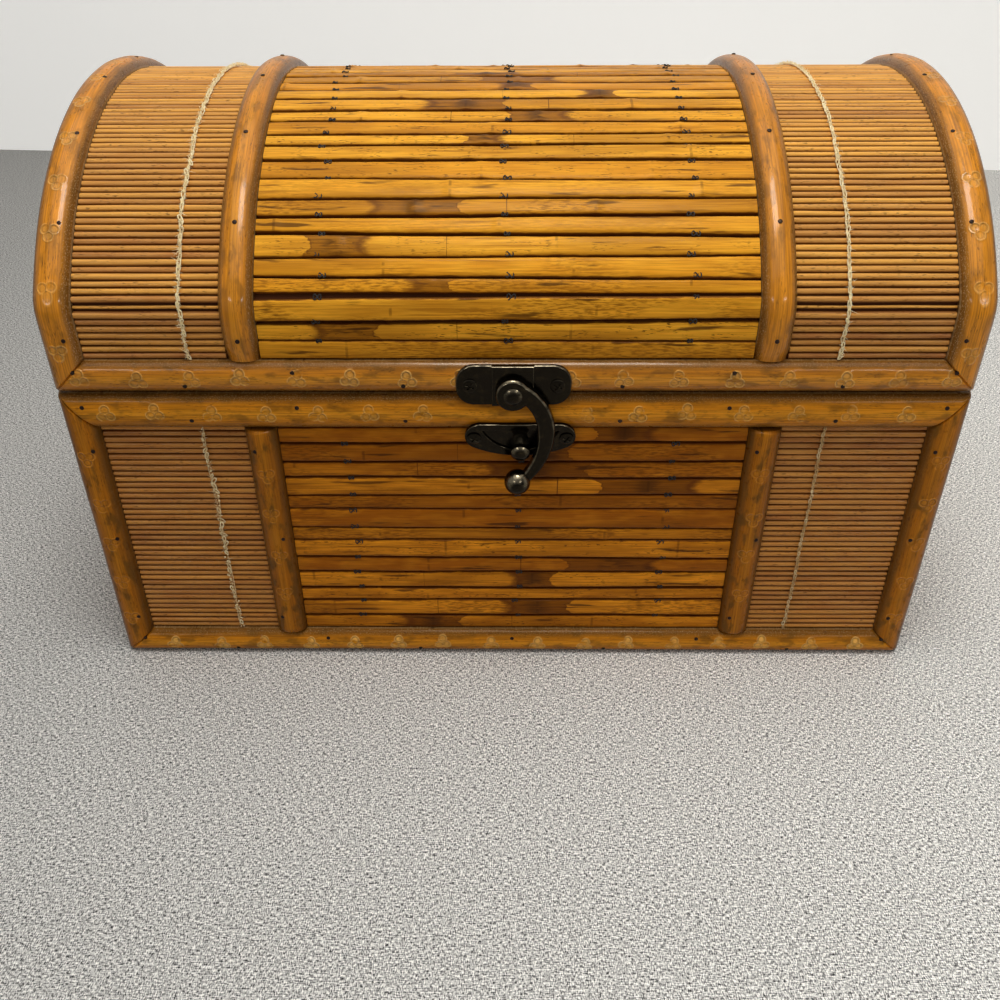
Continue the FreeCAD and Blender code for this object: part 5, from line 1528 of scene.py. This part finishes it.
def add_ties(node, body, at, low, high, count):
    """Makes the ties of one field of slats. They have no node of their own in the CAD."""
    places = np.linspace(low, high, count + 1)[1:-1]
    mesh = loops_to_mesh("ties_" + node, [tie_loops(at, places, tie_columns[node])], {}, True)
    add_piece("ties_" + node, mesh, body, thread_finish)


add_ties("lid_slats", "lid", lid_line(lid_rail_top), 0, lid_length(lid_rail_top), lid_slat_count)
for panel in ("front", "back"):
    origin, across, out = panels[panel]
    line = straight_line(origin, AXIS_Z, out)
    add_ties(panel + "_slats", "box", line, field_bottom, field_top, body_slat_count)

# %% [markdown]
# ## Brads
# Small dark brads hold the trims. Each CAD brad is a square pin, so its long axis and its outer end can be
# read from its corners. The piece that stands for it is a low round head, slightly sunk, on a short shank.

# %% Brad heads
BRAD_PROFILE_RADII = np.array([0.62, 0.85, 0.85, 0.6, 0.2])
BRAD_PROFILE_HEIGHTS = np.array([-1.4, -0.1, 0.05, 0.2, 0.26])
BRAD_POINTS, BRAD_ASKEW = 8, np.array([0.3, 0.5, 0.8])


def pin_frames(node, askew):
    """Outer tip and outward direction of each pin in a CAD node, and two directions square to it. A pin's
    long axis is the main direction of its corners, and outward is away from the trunk's heart."""
    solids = node_solids(node)
    middle = solids.mean(1)
    arms = solids - middle[:, None]
    axis = np.linalg.svd(arms, full_matrices=False)[2][:, 0]
    heart = np.array([0, 0, lid_rim / 2])
    out = axis * np.sign(((middle - heart) * axis).sum(1))[:, None]
    tip = middle + out * (arms * out[:, None]).sum(-1).max(1)[:, None]
    first = np.cross(out, askew)
    first = first / np.linalg.norm(first, axis=1, keepdims=True)
    return tip, out, first, np.cross(out, first)


def brad_loops(node):
    """Turned heads on the outer ends of the CAD brads, square to each brad's long axis."""
    tip, out, first, second = pin_frames(node, BRAD_ASKEW)
    angle = np.linspace(0, 2 * np.pi, BRAD_POINTS, endpoint=False)[:, None]
    spokes = np.cos(angle) * first[:, None] + np.sin(angle) * second[:, None]
    rings = BRAD_PROFILE_RADII[:, None, None] * spokes[:, None]
    return tip[:, None, None] + rings + out[:, None, None] * BRAD_PROFILE_HEIGHTS[:, None, None]


for node, body in (("body_nails", "box"), ("lid_nails", "lid")):
    mesh = loops_to_mesh("headed_" + node, [brad_loops(node)], {})
    add_piece("headed_" + node, mesh, body, nail_finish, [node])

# %% [markdown]
# ## Screw heads with a cross
# The CAD screws have plain heads. The heads here are turned like the CAD ones, with a cross sunk into the
# top. The grid of a head is made of rings, and its points sink where they lie within the arms of the cross.

# %% Screw heads
HEAD_RADIUS, HEAD_HEIGHT, HEAD_EDGE = 2.6, 0.8, 0.35
CROSS_REACH, CROSS_WIDTH, CROSS_DEPTH = 1.5, 0.34, 0.55
HEAD_RINGS, HEAD_POINTS, LEAST_RADIUS, DOME_POWER, CROSS_SLOPE = 22, 56, 0.02, 4, 2
CROSS_ASKEW = np.array([0.5, 0.0, 0.86])


def crossed_heads(node):
    """Domed heads on the outer ends of two CAD screws. Height is a dome's, less the depth of the cross."""
    tip, out, first, second = pin_frames(node, CROSS_ASKEW)
    radius = np.concatenate([[HEAD_RADIUS], np.linspace(HEAD_RADIUS, LEAST_RADIUS, HEAD_RINGS)])[:, None]
    angle = np.linspace(0, 2 * np.pi, HEAD_POINTS, endpoint=False)
    across, above = radius * np.cos(angle), radius * np.sin(angle)
    dome = -HEAD_EDGE * (radius / HEAD_RADIUS) ** DOME_POWER
    from_arm = np.minimum(np.abs(across), np.abs(above))
    within = np.clip((CROSS_WIDTH - from_arm) / CROSS_WIDTH * CROSS_SLOPE, 0, 1) * (radius < CROSS_REACH)
    height = dome - CROSS_DEPTH * within
    height[0] = -HEAD_HEIGHT
    spokes = across[..., None] * first[:, None, None] + above[..., None] * second[:, None, None]
    return tip[:, None, None] + spokes + out[:, None, None] * height[..., None]


for node in ("latch_screws", "keeper_screws"):
    body = "lid" if node == "latch_screws" else "box"
    mesh = loops_to_mesh("crossed_" + node, [crossed_heads(node)], {})
    add_piece("crossed_" + node, mesh, body, bronze_finish, [node])

# %% [markdown]
# ## Finishes on the CAD nodes
# The boards, the hinges and the latch have their true shape in the CAD already, so they stay and only take
# a finish.

# %% Dress the CAD nodes
slot_finishes = {"board": board_finish, "bronze": bronze_finish}
dressed = 0
for subpart in frame["record"]["subparts"]:
    finish = slot_finishes.get(subpart["material_slot"])
    if finish is not None:
        materials = frame["nodes"][subpart["node"]].data.materials
        materials.clear()
        materials.append(finish)
        dressed += 1
print(dressed, "CAD nodes dressed")

# %% [markdown]
# ## Floor, wall and light
# A floor of woven cloth and a pale wall stand for the room. A broad lamp overhead and a smaller one below
# it light the dome more than the front, as a ceiling and its lantern do, and two weak lamps in front give
# round forms their glints. The powers are set so that a colour comes out about as it is written.

# %% Stage and lamps
FLOOR_SIZE, WALL_PLACE, WALL_TURN, WALL_HEIGHT = 3.0, 0.64, 0.24, 1.6
STAGE_ROUGHNESS = 0.9
WARP_GRAIN, WARP_SHARE = (2600.0, 900.0, 900.0), 0.55
WEFT_GRAIN, WEFT_SHARE = (620.0, 2400.0, 2400.0), 0.45
WEAVE_RAMP, SHADE_FADE_RAMP = (0.33, 0.67), (-0.45, 0.4)
FLOOR_COLOUR, FLOOR_GRAIN, FLOOR_PAINTED_SHADE, FLOOR_GLOW = (0.54, 0.525, 0.49, 1), 2.4, 0.6, 0.0
WALL_COLOUR, WALL_GRAIN, WALL_PAINTED_SHADE, WALL_GLOW = (0.80, 0.79, 0.76, 1), 0.05, 0.0, 0.42
LAMP_AIM = Vector((0, 0, 0.1))
lamps = {
    "ceiling": ((0.0, -0.1, 1.35), 1.5, 1.5, 8.0),
    "lantern": ((0.04, -0.22, 1.15), 0.36, 0.36, 5.2),
    "left_window": ((-0.62, -1.05, 0.72), 0.3, 0.07, 1.0),
    "right_window": ((0.62, -1.05, 0.72), 0.3, 0.07, 1.1),
}
SKY_COLOUR, SKY_LIGHT, SKY_SHOWN = (0.97, 0.98, 1.0, 1), 0.15, 0.3


def stage_sheet(name, corners, colour, grain, painted_shade, glow):
    """A flat sheet of the room, woven of two greys by its grain. It is darker on the left and paler on the
    right by its painted shade and light, and its glow is seen by the camera alone."""
    mesh = bpy.data.meshes.new(name)
    mesh.from_pydata(corners, [], [range(len(corners))])
    sheet = bpy.data.objects.new(name, mesh)
    bpy.context.scene.collection.objects.link(sheet)
    finish, bench, shader = new_finish(name)
    warp = bench.times(bench.noise(bench.place(), WARP_GRAIN, 3.0), WARP_SHARE)
    weft = bench.times(bench.noise(bench.place(), WEFT_GRAIN, 3.0), WEFT_SHARE)
    weave = bench.ramp(bench.math("ADD", warp, weft), *WEAVE_RAMP)
    shade = bench.math("ADD", bench.times(bench.math("SUBTRACT", weave, NOISE_MIDDLE), grain), 1.0)
    aside = bench.node("ShaderNodeSeparateXYZ", {0: bench.place()}).outputs["X"]
    # Painted shade and light: the sheet is darker to the left and paler to the right.
    shade_fall = bench.times(bench.math("SUBTRACT", bench.ramp(aside, *SHADE_FADE_RAMP), NOISE_MIDDLE), painted_shade)
    shade = bench.times(shade, bench.math("ADD", shade_fall, 1.0))
    bench.link(bench.mix(1.0, colour, shade, "MULTIPLY"), shader.inputs["Base Color"])
    seen = bench.times(bench.node("ShaderNodeLightPath").outputs["Is Camera Ray"], glow)
    bench.link(seen, shader.inputs["Emission Strength"])
    shader.inputs["Emission Color"].default_value = colour
    shader.inputs["Roughness"].default_value = STAGE_ROUGHNESS
    mesh.materials.append(finish)


near, far = -FLOOR_SIZE, FLOOR_SIZE
floor = [(near, near, 0), (far, near, 0), (far, far, 0), (near, far, 0)]
wall_left, wall_right = (-FLOOR_SIZE, WALL_PLACE + WALL_TURN), (FLOOR_SIZE, WALL_PLACE - WALL_TURN)
wall = [(*wall_left, 0), (*wall_right, 0), (*wall_right, WALL_HEIGHT), (*wall_left, WALL_HEIGHT)]
stage_sheet("floor", floor, FLOOR_COLOUR, FLOOR_GRAIN, FLOOR_PAINTED_SHADE, FLOOR_GLOW)
stage_sheet("wall", wall, WALL_COLOUR, WALL_GRAIN, WALL_PAINTED_SHADE, WALL_GLOW)


def add_lamp(name, place, width, height, watts):
    """A soft oblong lamp that points at the trunk's middle."""
    data = bpy.data.lights.new(name, "AREA")
    data.shape = "RECTANGLE"
    data.size = width
    data.size_y = height
    data.energy = watts
    lamp = bpy.data.objects.new(name, data)
    lamp.location = place
    lamp.rotation_euler = (LAMP_AIM - Vector(place)).to_track_quat("-Z", "Y").to_euler()
    bpy.context.scene.collection.objects.link(lamp)


for name, lamp in lamps.items():
    add_lamp(name, *lamp)
world = bpy.data.worlds.new("room")
bpy.context.scene.world = world
world.use_nodes = True
bench = Bench(world.node_tree)
background = world.node_tree.nodes["Background"]
rays = bench.node("ShaderNodeLightPath").outputs
mirrored = bench.math("MAXIMUM", rays["Is Glossy Ray"], rays["Is Transmission Ray"])
shown = bench.math("MAXIMUM", rays["Is Camera Ray"], mirrored)
bench.link(bench.math("ADD", bench.times(shown, SKY_SHOWN), SKY_LIGHT), background.inputs["Strength"])
background.inputs["Color"].default_value = SKY_COLOUR
bpy.context.scene.view_settings.view_transform = "Standard"
print("lamps", *lamps)

# %% [markdown]
# ## The camera
# The camera stands a little above the trunk and looks down at its front. Its place and angles were fitted
# to the trunk's own edges in the photograph, and the focal length is given in pixels of a square image.

# %% Camera
CAMERA_PLACE = np.array([-1.08, -422.5, 294.4])
PITCH, YAW, ROLL = math.radians(34.40), math.radians(-0.67), math.radians(-0.30)
FOCAL_PIXELS, IMAGE_PIXELS, SENSOR_WIDTH, CLIP_START = 992, 1000, 36.0, 0.01
ahead = Vector((math.sin(YAW) * math.cos(PITCH), math.cos(YAW) * math.cos(PITCH), -math.sin(PITCH)))
level = Vector((math.cos(YAW), -math.sin(YAW), 0))
upright = level.cross(ahead)
right = level * math.cos(ROLL) + upright * math.sin(ROLL)
top = upright * math.cos(ROLL) - level * math.sin(ROLL)
camera_data = bpy.data.cameras.new("camera")
camera_data.sensor_width = SENSOR_WIDTH
camera_data.lens = SENSOR_WIDTH * FOCAL_PIXELS / IMAGE_PIXELS
camera_data.clip_start = CLIP_START
camera = bpy.data.objects.new("camera", camera_data)
turned = Matrix((right, top, -ahead)).transposed()
camera.matrix_world = Matrix.Translation(CAMERA_PLACE * MM) @ turned.to_4x4()
bpy.context.scene.collection.objects.link(camera)
bpy.context.scene.camera = camera
print("lens", camera_data.lens)
